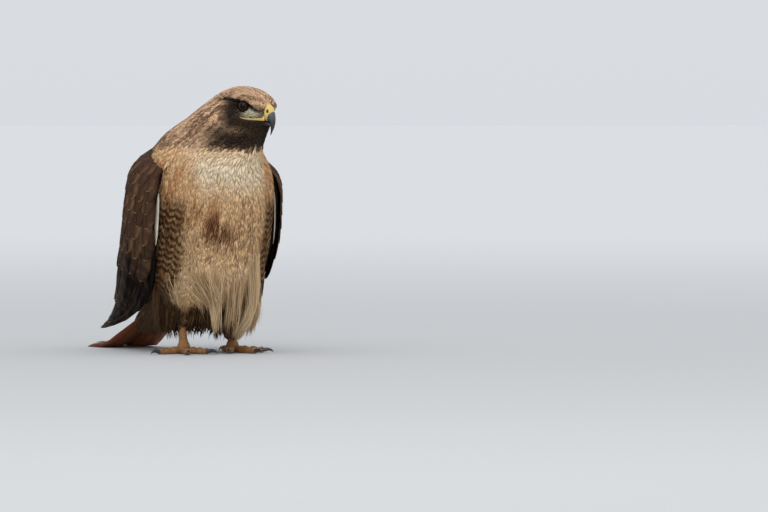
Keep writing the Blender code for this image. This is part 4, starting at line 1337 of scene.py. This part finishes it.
class HAWK_OT_skin(bpy.types.Operator):
    """Lay one skin over the head, neck, body and thighs"""

    bl_idname = "hawk.skin"
    bl_label = "Skin"

    def execute(self, context):
        form = skin()
        _, run = flow_at(form.points)
        fields = markings(form.points, form.normals)
        fields["along"] = np.full(len(form.points), 0.5)
        fields["across"] = np.full(len(form.points), 0.6)
        fields["seed"] = np.full(len(form.points), 0.35)
        fields["run"] = run
        material = body_plumage("skin_down", skin=True)
        piece = new_piece("skin", form.points, form.faces, material, fields)
        layer = piece.data.uv_layers.new(name="OFBake")
        layer.data.foreach_set("uv", skin_uv(form.points, form.faces, run).astype(np.float32).ravel())
        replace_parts(piece, *FLESH)
        return {"FINISHED"}


# Wings and tail

def wing_face(place, across, lift):
    """Points over the left wing's outer face."""
    rows = np.reshape(WING, (len(WING), 9))

    def on_face(s, t):
        grid = along(rows, s).reshape(*np.shape(s), 3, 3)
        t = np.asarray(t)[..., None]
        edge, flank, ridge = grid[..., 0, :], grid[..., 1, :], grid[..., 2, :]
        return edge * (1 - t) * (1 - 2 * t) + flank * 4 * t * (1 - t) + ridge * t * (2 * t - 1)

    nudge = 0.01
    down = on_face(place + nudge, across) - on_face(place - nudge, across)
    over = on_face(place, across + nudge) - on_face(place, across - nudge)
    normal = unit(np.cross(down, over))
    return on_face(place, across) + normal * lift[..., None], np.linalg.norm(over, axis=-1) / (2 * nudge)


VANE_STATIONS = np.array([0.0, 0.16, 0.34, 0.52, 0.68, 0.82, 0.92, 0.975, 1.0])
LONG_OUTLINE = np.array([0.25, 0.70, 0.92, 1.0, 1.0, 0.95, 0.78, 0.50, 0.12])
SHORT_OUTLINE = np.array([0.35, 0.72, 0.94, 1.02, 1.0, 0.88, 0.64, 0.38, 0.10])
ACROSS = np.array([-1.0, -0.5, 0.0, 0.5, 1.0])
# Across a ring of eight points: the top from edge to edge, then back underneath
VANE_ACROSS = np.concatenate([ACROSS, ACROSS[3:0:-1]])
VANE_THICKNESS = 0.0004


def vane_rings(top, thickness_way):
    """Closed rings from rows of five points across: the top, then back underneath."""
    under = top[..., 3:0:-1, :] - thickness_way[..., 3:0:-1, :] * VANE_THICKNESS
    return np.concatenate([top, under], -2)


def pressed(place, across):
    """How far the top of the wing sinks into the plumage, most of all by the back."""
    by_back = RIDGE_PRESS * fade(across, 0.50, 0.85) * (1 - fade(place, 0.0, 0.9))
    return WING_PRESS * (1 - fade(place, 0.0, 1.2)) + by_back


# The overlap of neighbours, how far the tips of a row stray, and how much a covert narrows
VANE_STEP = 0.0007
RAGGED = 0.03
COVERT_TAPER = 0.9

# The rows of long feathers: how far each lies over the last, and how much it narrows
LONG_TIERS = {"primary": (0.0007, 0.80), "secondary": (0.0, 0.85)}
TIERS = (
    # name, count, root, tip, low edge, width, lift, rise, covert, pale
    ("primary", 9, (2.5, 2.9), (6.97, 5.55), (0.00, 0.18), 0.029, 0.0000, 0.000, 0.0, 0.35),
    ("secondary", 12, (2.4, 2.1), (5.30, 5.20), (0.10, 0.90), 0.040, 0.0022, 0.0008, 0.20, 0.65),
    ("greater", 9, (2.4, 2.2), (3.75, 3.65), (0.00, 0.86), 0.034, 0.0036, 0.0008, 0.65, 0.85),
    ("median_low", 10, (2.0, 1.9), (3.22, 3.10), (-0.02, 0.84), 0.030, 0.0042, 0.0009, 0.8, 0.9),
    ("median_mid", 10, (1.7, 1.6), (2.78, 2.66), (0.00, 0.84), 0.029, 0.0047, 0.0010, 0.9, 0.95),
    ("median_top", 10, (1.4, 1.3), (2.38, 2.26), (-0.02, 0.83), 0.028, 0.0051, 0.0010, 1.0, 1.0),
    ("lesser_low", 10, (1.1, 1.0), (2.02, 1.90), (0.00, 0.83), 0.026, 0.0055, 0.0010, 1.0, 1.0),
    ("lesser_mid", 11, (0.8, 0.7), (1.68, 1.56), (-0.01, 0.83), 0.024, 0.0058, 0.0010, 1.0, 0.9),
    ("lesser_top", 11, (0.5, 0.4), (1.36, 1.24), (0.01, 0.83), 0.022, 0.0060, 0.0010, 1.0, 0.8),
    ("shoulder_low", 12, (0.25, 0.2), (1.04, 0.93), (0.00, 0.83), 0.020, 0.0058, 0.0011, 1.0, 0.7),
    ("shoulder_top", 12, (0.05, 0.0), (0.74, 0.64), (0.02, 0.83), 0.018, 0.0050, 0.0012, 1.0, 0.5),
    ("scapular_low", 5, (1.5, 1.4), (4.20, 4.40), (0.56, 0.82), 0.038, 0.0052, 0.0010, 0.8, 1.0),
    ("scapular_mid", 5, (1.0, 0.9), (3.40, 3.60), (0.55, 0.82), 0.034, 0.0062, 0.0010, 0.9, 1.0),
    ("scapular_top", 5, (0.6, 0.5), (2.60, 2.75), (0.55, 0.82), 0.031, 0.0070, 0.0010, 1.0, 0.9),
    ("scapular_root", 5, (0.2, 0.1), (1.85, 1.95), (0.55, 0.82), 0.027, 0.0074, 0.0008, 1.0, 0.7),
)


def wing_tier(name, count, root, tip, low, width, lift, rise, side, rng):
    """Rings of one row of wing feathers, from the front edge to the ridge."""
    layer, taper = LONG_TIERS.get(name, (0.0, COVERT_TAPER))
    outline = LONG_OUTLINE if name in LONG_TIERS else SHORT_OUTLINE
    share = np.linspace(0, 1, count)
    start = root[0] + (root[1] - root[0]) * share
    end = tip[0] + (tip[1] - tip[0]) * share + rng.normal(0, RAGGED, count)
    low_edge = low[0] + (low[1] - low[0]) * share + rng.normal(0, 0.004, count)
    place = start[:, None] + (end - start)[:, None] * VANE_STATIONS
    scale = wing_face(place, np.broadcast_to(low_edge[:, None], place.shape), np.zeros(place.shape))[1]
    feather_width = width * rng.uniform(0.93, 1.07, count)[:, None] * (1 - (1 - taper) * VANE_STATIONS)
    c = (ACROSS + 1) / 2
    narrowed = 0.5 + (c - 0.5) * outline[:, None]
    spacing = max((low[1] - low[0]) / max(count - 1, 1), 1e-3) * scale
    slope = np.minimum(VANE_STEP * feather_width / spacing, 0.0035)
    wide = feather_width[..., None] * narrowed / np.maximum(scale, 0.03)[..., None]
    across = np.minimum(low_edge[:, None, None] + wide, 0.985 + 0.015 * c)
    camber = 0.0010 * (1 - (2 * c - 1) ** 2)
    lift = lift - pressed(place[..., None], across)
    height = lift + layer * np.arange(count)[:, None, None] + rise * VANE_STATIONS[:, None] ** 1.5
    height = height + camber - slope[..., None] * c
    where = np.broadcast_to(place[..., None], across.shape)
    top = wing_face(where, across, height)[0]
    below = wing_face(where, across, height - 0.001)[0]
    return vane_rings(top, unit(top - below)) * [side, 1, 1]


# How far down the wing its lining reaches, and how thick it is at the shoulder
LINING_END = 5.0
LINING_THICKNESS = 0.0068


def wing_lining(side):
    """The dark underside of the folded wing, on which the feathers lie."""
    s = np.linspace(0.0, LINING_END, 26)[:, None]
    t = np.linspace(0.0, 0.95, 21)[None]
    s, t = np.broadcast_arrays(s, t)
    share = s / LINING_END
    edge_drop = 0.0025 * (2 * t - 0.95) ** 6
    top = 0.0048 * np.minimum(s, 1.0) - 0.0068 * np.minimum(share / 0.55, 1.0) ** 2 - edge_drop
    top = top - pressed(s, t)
    upper = wing_face(s, t, top)[0]
    lower = wing_face(s, t, top - LINING_THICKNESS * (1 - 0.72 * share))[0]
    lower[..., 0] = np.maximum(lower[..., 0], 0.0010)
    return np.concatenate([upper, lower[:, ::-1]], 1) * [side, 1, 1]


def back_face(place, x, lift):
    """Points over the back, on both wings' inner edges and across the hollow between them."""
    steps = np.linspace(0.50, 1.0, 26)
    found = np.empty((*np.shape(x), 3))
    for spot in np.ndindex(*np.shape(x)):
        s = np.full(len(steps), place[spot])
        edge_x = wing_face(s, steps, np.zeros(len(steps)))[0][:, 0]
        t = np.interp(abs(x[spot]), edge_x[::-1], steps[::-1])
        point = wing_face(s[:1], np.array([t]), np.array([lift[spot]]))[0][0]
        found[spot] = (x[spot], point[1], point[2])
    return found


# The pale feather at the wing's front edge
EDGE_START, EDGE_END = 1.35, 2.75
EDGE_WIDTH = 0.0070

MANTLE_ROWS = 13
MANTLE_ROOT, MANTLE_STEP, MANTLE_REACH = 0.14, 0.28, 1.15
MANTLE_GAP = 0.0125
MANTLE_WIDTH = 0.021


def mantle_feathers(rng):
    """Rows of rounded feathers down the back that close the hollow between the wings."""
    rings = []
    c = ACROSS
    for row in range(MANTLE_ROWS):
        count = 5 - row % 2
        for i in range(count):
            root = MANTLE_ROOT + MANTLE_STEP * row + rng.normal(0, 0.03)
            place = root + MANTLE_REACH * (1 - 0.02 * row) * VANE_STATIONS
            centre = (i - (count - 1) / 2) * MANTLE_GAP
            x = centre * (1 - 0.25 * VANE_STATIONS[:, None]) + c * MANTLE_WIDTH / 2 * SHORT_OUTLINE[:, None]
            s = np.broadcast_to(np.clip(place, -0.35, 4.9)[:, None], x.shape)
            rise = 0.0010 + 0.0038 * VANE_STATIONS[:, None] ** 1.3 + 0.0010 * (1 - c**2) - 0.0007 * (i % 2)
            lift = rise - pressed(s, 0.9)
            top = back_face(s, x, lift)
            below = back_face(s, x, lift - 0.001)
            rings.append(vane_rings(top, unit(top - below)))
    return np.array(rings)


class HAWK_OT_wings(bpy.types.Operator):
    """Fold both wings from rows of separate feathers"""

    bl_idname = "hawk.wings"
    bl_label = "Wings"

    def execute(self, context):
        material = wing_plumage("wing_plumage")
        for side_name, side in SIDES:
            rng = np.random.default_rng(SEEDS[side_name])
            rings, seeds, coverts, pales = [], [], [], []
            for name, count, root, tip, low, width, lift, rise, covert, pale in TIERS:
                rings.append(wing_tier(name, count, root, tip, low, width, lift, rise, side, rng))
                seeds.append(rng.random(count))
                coverts.append(np.full(count, covert))
                pales.append(np.full(count, pale))
            rings, seeds = np.concatenate(rings), np.concatenate(seeds)
            extra = {"covert": np.concatenate(coverts), "pale": np.concatenate(pales), "white": 0.0}
            piece = self.build_rows("wing_feathers_" + side_name, rings, seeds, material, extra)
            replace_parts(piece, "wing_" + side_name)
            self.build_lining(side_name, side, material)
            self.build_edge(side_name, side, material)
        rng = np.random.default_rng(SEEDS["mantle"])
        rings = mantle_feathers(rng)
        extra = {"covert": 1.0, "pale": 0.8, "white": 0.0}
        self.build_rows("mantle_feathers", rings, rng.random(len(rings)), material, extra)
        return {"FINISHED"}

    def build_rows(self, name, rings, seeds, material, extra):
        return vane_piece(name, rings, VANE_STATIONS, VANE_ACROSS, seeds, material, extra)

    def build_edge(self, side_name, side, material):
        """One narrow white-edged feather along the front of the folded wing."""
        place = EDGE_START + (EDGE_END - EDGE_START) * VANE_STATIONS
        line = wing_face(place, np.zeros(len(place)), np.full(len(place), -0.0030))[0]
        line = line + [0.0002, -0.0022, 0.0]
        onward = unit(np.gradient(line, axis=0))
        facing = unit(np.array([0.62, -0.78, 0.0]))
        across = unit(np.cross(onward, facing))
        half = EDGE_WIDTH / 2 * np.array([0.3, 0.7, 0.9, 1.0, 0.95, 0.75, 0.5, 0.3, 0.08])
        top = line[:, None] + across[:, None] * (half[:, None] * ACROSS)[..., None]
        rings = vane_rings(top, np.broadcast_to(facing, top.shape)) * [side, 1, 1]
        white = fade(np.tile(VANE_ACROSS, len(VANE_STATIONS)), -0.2, 0.1)
        extra = {"covert": 0.0, "pale": 0.4, "white": white}
        self.build_rows("wing_edge_" + side_name, rings[None], [0.8], material, extra)

    def build_lining(self, side_name, side, material):
        lining = wing_lining(side)
        points = lining.reshape(-1, 3)
        numbers = {"along": 0.5, "across": 0.5, "seed": 0.2, "covert": 0.0, "pale": 0.0, "white": 0.0}
        fields = {name: np.full(len(points), value) for name, value in numbers.items()}
        _, run = flow_at(points)
        ring_piece("wing_lining_" + side_name, lining, material, fields, unwrap(points, run))


def tail_height(y):
    """How high the tail lies, from its root down to the floor."""
    place = (y - TAIL_ROOT_Y) / (TAIL_TIP_Y - TAIL_ROOT_Y) * (len(TAIL_CURVE) - 1)
    return np.maximum(along(TAIL_CURVE, place)[..., 0], 0.0)


class HAWK_OT_tail(bpy.types.Operator):
    """Lay the tail feathers on the floor"""

    bl_idname = "hawk.tail"
    bl_label = "Tail"

    def execute(self, context):
        rng = np.random.default_rng(SEEDS["tail"])
        material = tail_plumage("tail_plumage")
        stations = np.linspace(0, 1, 9) ** 0.8
        rings, seeds = [], []
        for pair in range(TAIL_PAIRS):
            for side in (1, -1):
                middle = pair < 2
                layer = (TAIL_PAIRS - pair) + (2 if middle and side > 0 else 1 if middle else 0) - 1
                fan = TAIL_FAN * (pair + 0.5) * side
                run = (TAIL_TIP_Y - TAIL_ROOT_Y - 0.0006 * pair**2) * stations
                centre_x = (0.004 + 0.0022 * pair) * side + np.sin(fan) * run
                y = TAIL_ROOT_Y + np.cos(fan) * run
                outline = np.interp(stations, VANE_STATIONS, LONG_OUTLINE)
                half = TAIL_WIDTH * 0.5 * outline
                x = centre_x[:, None] + half[:, None] * ACROSS
                z = tail_height(y)[:, None] + TAIL_LAYER * layer + 0.0004 + 0.0004 * (1 - ACROSS**2)
                top = np.stack([x, np.broadcast_to(y[:, None], x.shape), z], -1)
                rings.append(vane_rings(top, np.broadcast_to([0.0, 0.0, 1.0], top.shape)))
                seeds.append(rng.random())
        piece = vane_piece(
            "tail_feathers", np.array(rings), stations, VANE_ACROSS, seeds, material, {}
        )
        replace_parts(piece, "tail")
        return {"FINISHED"}


# Bare parts

def bill_places(first, last, count, around):
    """Ring places whose ends slant, so that the cere reaches further over the top."""
    over = (1 + np.cos(circle(around))) / 2
    cere_end = CERE_LOW + (CERE_TOP - CERE_LOW) * over
    ends = {"face": np.zeros(around), "cere": cere_end, "tip": np.full(around, 9.0)}
    share = np.linspace(0, 1, count)[:, None]
    start = ends[first] - (0.12 if first == "cere" else 0.0)
    return start + (ends[last] - start) * share


def bill_part(name, sections, places, around, material, swollen=0.0):
    """A closed part of the bill, with the nostrils sunk into it where it is swollen."""
    rings = section_rings(sections, places, around)
    progress = np.linspace(0, 1, len(rings))[:, None]
    plain = rings.reshape(-1, 3)
    if swollen:
        centre = rings.mean(1, keepdims=True)
        bulge = swollen * (np.sin(math.pi * np.clip(progress * 1.15 - 0.15, 0, 1)) ** 0.7)
        rings = rings + unit(rings - centre) * bulge[..., None]
        for side in (1, -1):
            slit = (rings - NOSTRIL * [side, 1, 1]) / NOSTRIL_SHAPE
            sunk = np.exp(-((np.linalg.norm(slit, axis=-1) / 0.0013) ** 2))
            rings[..., 0] -= side * 0.0020 * sunk
    hole = np.minimum.reduce([
        np.linalg.norm((plain - NOSTRIL * [side, 1, 1]) / NOSTRIL_SHAPE, axis=1) for side in (1, -1)
    ])
    # Painted shade in the hollow of each nostril
    nostril_shade = (1 - fade(hole, 0.0009, 0.0017)) * (swollen > 0)
    fields = {"along": np.repeat(progress[:, 0], around), "dark": nostril_shade}
    return ring_piece(name, turned(rings), material, fields)


class HAWK_OT_bill(bpy.types.Operator):
    """Build the cere, the hooked bill and the edges of the mouth"""

    bl_idname = "hawk.bill"
    bl_label = "Bill"

    def execute(self, context):
        horn = horn_look("bill_horn", colours().horn)
        dark_horn = horn_look("jaw_horn", JAW_HORN)
        yellow = cere_look("cere_skin")
        places = bill_places("face", "cere", *CERE_GRAIN)
        cere = bill_part("cere_skin", UPPER_BILL, places, CERE_GRAIN[1], yellow, CERE_SWELLING)
        places = bill_places("cere", "tip", *HOOK_GRAIN)
        hook = bill_part("bill_hook", UPPER_BILL, places, HOOK_GRAIN[1], horn)
        places = np.linspace(0, len(LOWER_BILL) - 1, JAW_GRAIN[0])
        jaw = bill_part("bill_jaw", LOWER_BILL, places, JAW_GRAIN[1], dark_horn)
        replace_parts(cere, "cere")
        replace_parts(hook, "bill_upper")
        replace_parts(jaw, "bill_lower")
        tree = solid_tree("head")
        share = np.linspace(0, 1, 21)
        for side_name, side in SIDES:
            path = []
            for place in share * (len(MOUTH) - 1):
                y, z = along(MOUTH, place)
                start = turned(np.array([0.06 * side, y, z]))
                inward = turned(np.array([-side, y, z])) - turned(np.array([0.0, y, z]))
                spot = tree.ray_cast(start, inward)[0]
                path.append(np.array(spot) if spot else turned(np.array([0.0075 * side, y, z])))
            path = np.array(path)
            for _ in range(4):
                path[1:-1] = (path[:-2] + 2 * path[1:-1] + path[2:]) / 4
            rings = rod_rings(path, 0.0006 + 0.0026 * share**2.2, (0, 0, 1), 12)
            rings = path[:, None] + (rings - path[:, None]) * [0.6, 0.6, 1.0]
            dull = np.repeat(0.45 * (1 - share), 12)
            ring_piece("mouth_edge_" + side_name, rings, yellow, {"dark": dull})
        return {"FINISHED"}


def eye_frame(side):
    """The eye's centre and its forward, sideways and upward directions on the turned head."""
    forward = unit(np.array([math.sin(EYE_LATERAL) * side, -math.cos(EYE_LATERAL), 0.03]))
    across = unit(np.cross(forward, [0.0, 0.0, 1.0]))
    up = np.cross(across, forward)
    origin = turned(np.zeros(3))
    ways = [turned(way) - origin for way in (forward, across, up)]
    return turned(EYE * [side, 1, 1]), ways


class HAWK_OT_eyes(bpy.types.Operator):
    """Set the eyes and the rims of their lids"""

    bl_idname = "hawk.eyes"
    bl_label = "Eyes"

    def execute(self, context):
        glossy, rim = eye_look("eye"), lid_look("lid")
        polar = np.linspace(0.004, math.pi - 0.004, 30)[:, None]
        angle = circle(48)[None]
        bulge = 1 + 0.045 * np.exp(-((polar / 0.55) ** 2))
        radius = EYE_RADIUS * bulge
        off = radius * np.sin(polar) * np.ones_like(angle)
        ahead = radius * np.cos(polar) * np.ones_like(angle)
        fields = {
            "off_axis": np.where(polar < math.pi / 2, off, 0.02).ravel(),
            "spin": np.broadcast_to(angle, off.shape).ravel(),
        }
        low = {"low": np.repeat(0.5 - 0.5 * np.sin(circle(LID_AROUND)), LID_TUBE)}
        for side_name, side in SIDES:
            centre, (forward, across, up) = eye_frame(side)
            spread_out = off[..., None] * (across * np.cos(angle)[..., None] + up * np.sin(angle)[..., None])
            rings = centre + forward * ahead[..., None] + spread_out
            piece = ring_piece("eyeball_" + side_name, rings, glossy, fields)
            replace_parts(piece, "eye_" + side_name)
            points = lid_ring(centre, forward, across, up)
            faces = facing_out(points, ring_faces(LID_AROUND, LID_TUBE))
            new_piece("eyelid_" + side_name, points, faces, rim, low)
        return {"FINISHED"}


def ring_faces(around, tube):
    """The faces of a closed ring of tube."""
    i = np.arange(around)[:, None]
    k = np.arange(tube)[None]
    i2, k2 = (i + 1) % around, (k + 1) % tube
    corners = [i * tube + k, i2 * tube + k, i2 * tube + k2, i * tube + k2]
    return np.stack([np.broadcast_to(c, (around, tube)) for c in corners], -1).reshape(-1, 4)


def lid_ring(centre, forward, across, up):
    """The rim of the lids, a little narrower from above to below than it is long."""
    angle = circle(LID_AROUND)[:, None]
    turn = circle(LID_TUBE)[None]
    open_wide = LID_OPEN - 0.0004 * np.sin(angle) ** 2
    height = np.sqrt(EYE_RADIUS**2 - open_wide**2) + 0.0002
    reach = open_wide + 0.0004 + 0.0007 * np.cos(turn)
    out = across * np.cos(angle)[..., None] + up * np.sin(angle)[..., None]
    points = centre + out * reach[..., None] + forward * (height + 0.0011 * np.sin(turn))[..., None]
    return points.reshape(-1, 3)


def toe_line(side, side_name, toe, count):
    """The middle line, radii and seams of a toe, fuller over each pad."""
    degrees, reach = TOES[side_name][toe]
    heading = np.array([math.sin(math.radians(degrees)) * side, -math.cos(math.radians(degrees)), 0.0])
    share = np.linspace(0, 1, count)
    pads = 2 if toe == "hind" else 3
    swelling = 0.10 * np.cos(2 * math.pi * pads * share)
    radii = TOE_RADIUS * (1 - 0.20 * share) * (1 + swelling)
    path = np.array([FOOT_X * side, 0, 0]) + heading * (0.004 + reach * share)[:, None]
    path[:, 2] = radii * 0.86
    return heading, path, radii


def scutes(rings, pitch, over):
    """Shield-shaped scales stepped round a limb, and how near each point is to a seam."""
    run = np.concatenate([[0], np.cumsum(np.linalg.norm(np.diff(rings.mean(1), axis=0), axis=1))])
    phase = (run / pitch) % 1.0
    step = phase[:, None] * over
    centre = rings.mean(1, keepdims=True)
    out = unit(rings - centre)
    grown = rings + out * (0.00055 * (step - 0.35))[..., None]
    return grown, (fade(phase, 0.86, 1.0) + 1 - fade(phase, 0.0, 0.06))[:, None] * over


class HAWK_OT_feet(bpy.types.Operator):
    """Build the scaled shanks, the toes and the claws"""

    bl_idname = "hawk.feet"
    bl_label = "Feet"

    def execute(self, context):
        skin_look, horn = foot_look("foot_skin"), horn_look("claw_horn", CLAW_HORN)
        for side_name, side in SIDES:
            self.build_foot(side_name, side, skin_look)
            for toe in TOES[side_name]:
                self.build_claw(side_name, side, toe, horn)
        return {"FINISHED"}

    def build_foot(self, side_name, side, material):
        limbs = []
        around = 20
        angle = circle(around, 0.5)
        path = along([(FOOT_X * side, y, z) for y, z in SHANK_PATH], np.linspace(0, 5, 70))
        radii = along([(r,) for r in SHANK_RADII], np.linspace(0, 5, 70))[:, 0]
        rings = rod_rings(path, radii, (1, 0, 0), around)
        front = fade(np.abs(np.sin(angle)), 0.2, 0.6)
        rings, seam = scutes(rings, 0.0034, front)
        limbs.append((above_floor(rings), seam))
        for toe in TOES[side_name]:
            heading, path, radii = toe_line(side, side_name, toe, 60)
            rings = rod_rings(path, radii, np.cross(heading, [0, 0, 1]), around)
            top = fade(np.sin(angle), 0.1, 0.6)
            rings, seam = scutes(rings, 0.0026, top)
            limbs.append((above_floor(rings), seam))
        points = np.concatenate([rings.reshape(-1, 3) for rings, _ in limbs])
        seams = {"seam": np.concatenate([seam.ravel() for _, seam in limbs])}
        faces, start = [], 0
        for rings, _ in limbs:
            own = tube_faces(1, rings.shape[0], around)
            faces.append(facing_out(rings.reshape(-1, 3), own) + start)
            start += rings.shape[0] * around
        faces = np.concatenate(faces)
        piece = new_piece("foot_" + side_name, points, faces, material, seams)
        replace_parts(piece, "shank_" + side_name, *["toe_" + side_name + "_" + toe for toe in TOES[side_name]])

    def build_claw(self, side_name, side, toe, material):
        heading, path, radii = toe_line(side, side_name, toe, 10)
        reach = CLAW_LENGTH[toe]
        start_angle, end_angle = math.radians(24), math.radians(-74)
        count = 7
        point = path[-1] + heading * 0.0003
        coarse, thickness = [point - heading * 0.0015, point.copy()], [min(CLAW_RADIUS, radii[-1] * 0.75)] * 2
        for i in range(1, count + 1):
            share = i / count
            angle = start_angle + (end_angle - start_angle) * (share - 0.5 / count) if i > 1 else 0.0
            point = point + (heading * math.cos(angle) + np.array([0, 0, math.sin(angle)])) * reach / count
            coarse.append(point.copy())
            thickness.append(CLAW_RADIUS * (1 - share) ** 0.8 + 0.00025)
        coarse, thickness = np.array(coarse), np.array(thickness)
        lowest = (coarse[4:, 2] - thickness[4:]).min()
        if lowest < CLAW_CLEAR:
            onward = np.clip(np.arange(len(coarse)) - 1, 0, count) / count
            coarse[:, 2] += (CLAW_CLEAR - lowest) * onward**1.5
        share = np.linspace(0, 1, 34)
        places = share * (len(coarse) - 1)
        fine = along(coarse, places)
        fine_radii = along(thickness[:, None], places)[:, 0]
        rings = rod_rings(fine, fine_radii, np.cross(heading, [0, 0, 1]), 14)
        fields = {"along": np.repeat(share, 14)}
        name = side_name + "_" + toe
        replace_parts(ring_piece("talon_" + name, rings, material, fields), "claw_" + name)


# The studio

CAMERA_AZIMUTH = math.radians(-30)
CAMERA_RISE = math.radians(1.5)
CAMERA_DISTANCE = 8.0
PIXEL = 0.0013
FRAME_WIDTH, FRAME_HEIGHT = 768, 512
FEET_IN_FRAME = (208, 353)

# The sky's brightness at the horizon and overhead, with one soft glow above and to the left
SKY_COLOUR = (0.92, 0.95, 1.0)
SKY_LOW = 0.75
SKY_HIGH = 1.10
SOFTBOX = 1.7
SOFTBOX_WAY = (-0.36, -0.72, 0.59)
SOFTBOX_TIGHTNESS = 6.0
FLOOR_REACH = 60.0
# The height on the bird that the lamps point at
LAMP_AIM = 0.18
LAMPS = (
    # name, place, size, power
    ("key", (-1.3, -2.6, 2.2), 1.4, 12.0),
    ("glint", (-1.5, -3.0, 1.6), 0.20, 2.0),
)


class HAWK_OT_stage(bpy.types.Operator):
    """Set the floor, the soft lights and the camera"""

    bl_idname = "hawk.stage"
    bl_label = "Stage"

    def execute(self, context):
        self.build_floor()
        self.build_light()
        self.build_camera()
        return {"FINISHED"}

    def build_floor(self):
        reach = np.linspace(0, 1, 24)[:, None] ** 2 * FLOOR_REACH + 0.001
        angle = circle(64)[None]
        points = np.stack([reach * np.cos(angle), reach * np.sin(angle), np.zeros((24, 64)) - 0.0002], -1)
        k = np.arange(64)
        onward = (k + 1) % 64
        start = np.arange(23)[:, None] * 64
        faces = np.stack([start + k, start + 64 + k, start + 64 + onward, start + onward], -1).reshape(-1, 4)
        mesh = bpy.data.meshes.new("floor")
        mesh.from_pydata(points.reshape(-1, 3).tolist(), [], faces.tolist() + [k[::-1].tolist()])
        mesh.materials.append(floor_look("floor"))
        mesh.shade_smooth()
        floor = bpy.data.objects.new("floor", mesh)
        bpy.context.scene.collection.objects.link(floor)

    def build_light(self):
        world = bpy.data.worlds.new("studio")
        world.use_nodes = True
        sky = NodeTree(world.node_tree)
        background = world.node_tree.nodes["Background"]
        way = sky.node("ShaderNodeTexCoord", output="Generated")
        height = sky.node("ShaderNodeSeparateXYZ", {}, {0: way}, output=2).at_least(0.0)
        ways = {0: way, 1: SOFTBOX_WAY}
        soft = sky.node("ShaderNodeVectorMath", {"operation": "DOT_PRODUCT"}, ways, output="Value")
        glow = soft.at_least(0.0) ** SOFTBOX_TIGHTNESS
        sky.fill(background.inputs["Color"], SKY_COLOUR)
        sky.fill(background.inputs["Strength"], SKY_LOW + height * (SKY_HIGH - SKY_LOW) + glow * SOFTBOX)
        bpy.context.scene.world = world
        bpy.context.scene.view_settings.view_transform = "Standard"
        for name, place, size, power in LAMPS:
            light = bpy.data.lights.new(name, "AREA")
            light.size = size
            light.energy = power
            lamp = bpy.data.objects.new(name, light)
            lamp.location = place
            aim = Vector((0, 0, LAMP_AIM)) - Vector(place)
            lamp.rotation_euler = aim.to_track_quat("-Z", "Y").to_euler()
            bpy.context.scene.collection.objects.link(lamp)

    def build_camera(self):
        right = Vector((math.cos(CAMERA_AZIMUTH), math.sin(CAMERA_AZIMUTH), 0))
        back = Vector((
            math.sin(CAMERA_AZIMUTH) * math.cos(CAMERA_RISE),
            -math.cos(CAMERA_AZIMUTH) * math.cos(CAMERA_RISE),
            math.sin(CAMERA_RISE),
        ))
        aside = (FRAME_WIDTH / 2 - FEET_IN_FRAME[0]) * PIXEL
        above = (FEET_IN_FRAME[1] - FRAME_HEIGHT / 2) * PIXEL
        target = Vector(SHIFT) + right * aside + Vector((0, 0, above))
        target.z = above
        lens = bpy.data.cameras.new("camera")
        lens.sensor_width = 36.0
        lens.lens = 36.0 * CAMERA_DISTANCE / (FRAME_WIDTH * PIXEL)
        lens.clip_end = 200.0
        camera = bpy.data.objects.new("camera", lens)
        camera.location = target + back * CAMERA_DISTANCE
        camera.rotation_euler = back.to_track_quat("Z", "Y").to_euler()
        bpy.context.scene.collection.objects.link(camera)
        bpy.context.scene.camera = camera


class HAWK_PT_panel(bpy.types.Panel):
    """The figure's steps, its sizes and its colours"""

    bl_idname = "HAWK_PT_panel"
    bl_label = "Hawk"
    bl_space_type = "VIEW_3D"
    bl_region_type = "UI"
    bl_category = "Hawk"

    def draw(self, context):
        layout = self.layout
        for step in STEPS:
            layout.operator(step.bl_idname)
        for group, kind in ((sizes(), HawkSizes), (colours(), HawkColours)):
            for name in kind.__annotations__:
                layout.prop(group, name)


STEPS = (
    HAWK_OT_skin, HAWK_OT_eyes, HAWK_OT_bill, HAWK_OT_feet, HAWK_OT_tail, HAWK_OT_wings, HAWK_OT_plumage,
    HAWK_OT_plumes, HAWK_OT_stage,
)
CLASSES = (HawkSizes, HawkColours) + STEPS + (HAWK_PT_panel,)


def register():
    for kind in CLASSES:
        bpy.utils.register_class(kind)
    bpy.types.Scene.hawk_sizes = bpy.props.PointerProperty(type=HawkSizes)
    bpy.types.Scene.hawk_colours = bpy.props.PointerProperty(type=HawkColours)


def unregister():
    del bpy.types.Scene.hawk_colours
    del bpy.types.Scene.hawk_sizes
    for kind in reversed(CLASSES):
        bpy.utils.unregister_class(kind)


def main():
    register()
    for step in STEPS:
        group, action = step.bl_idname.split(".")
        getattr(getattr(bpy.ops, group), action)()


if __name__ == "__main__":
    main()
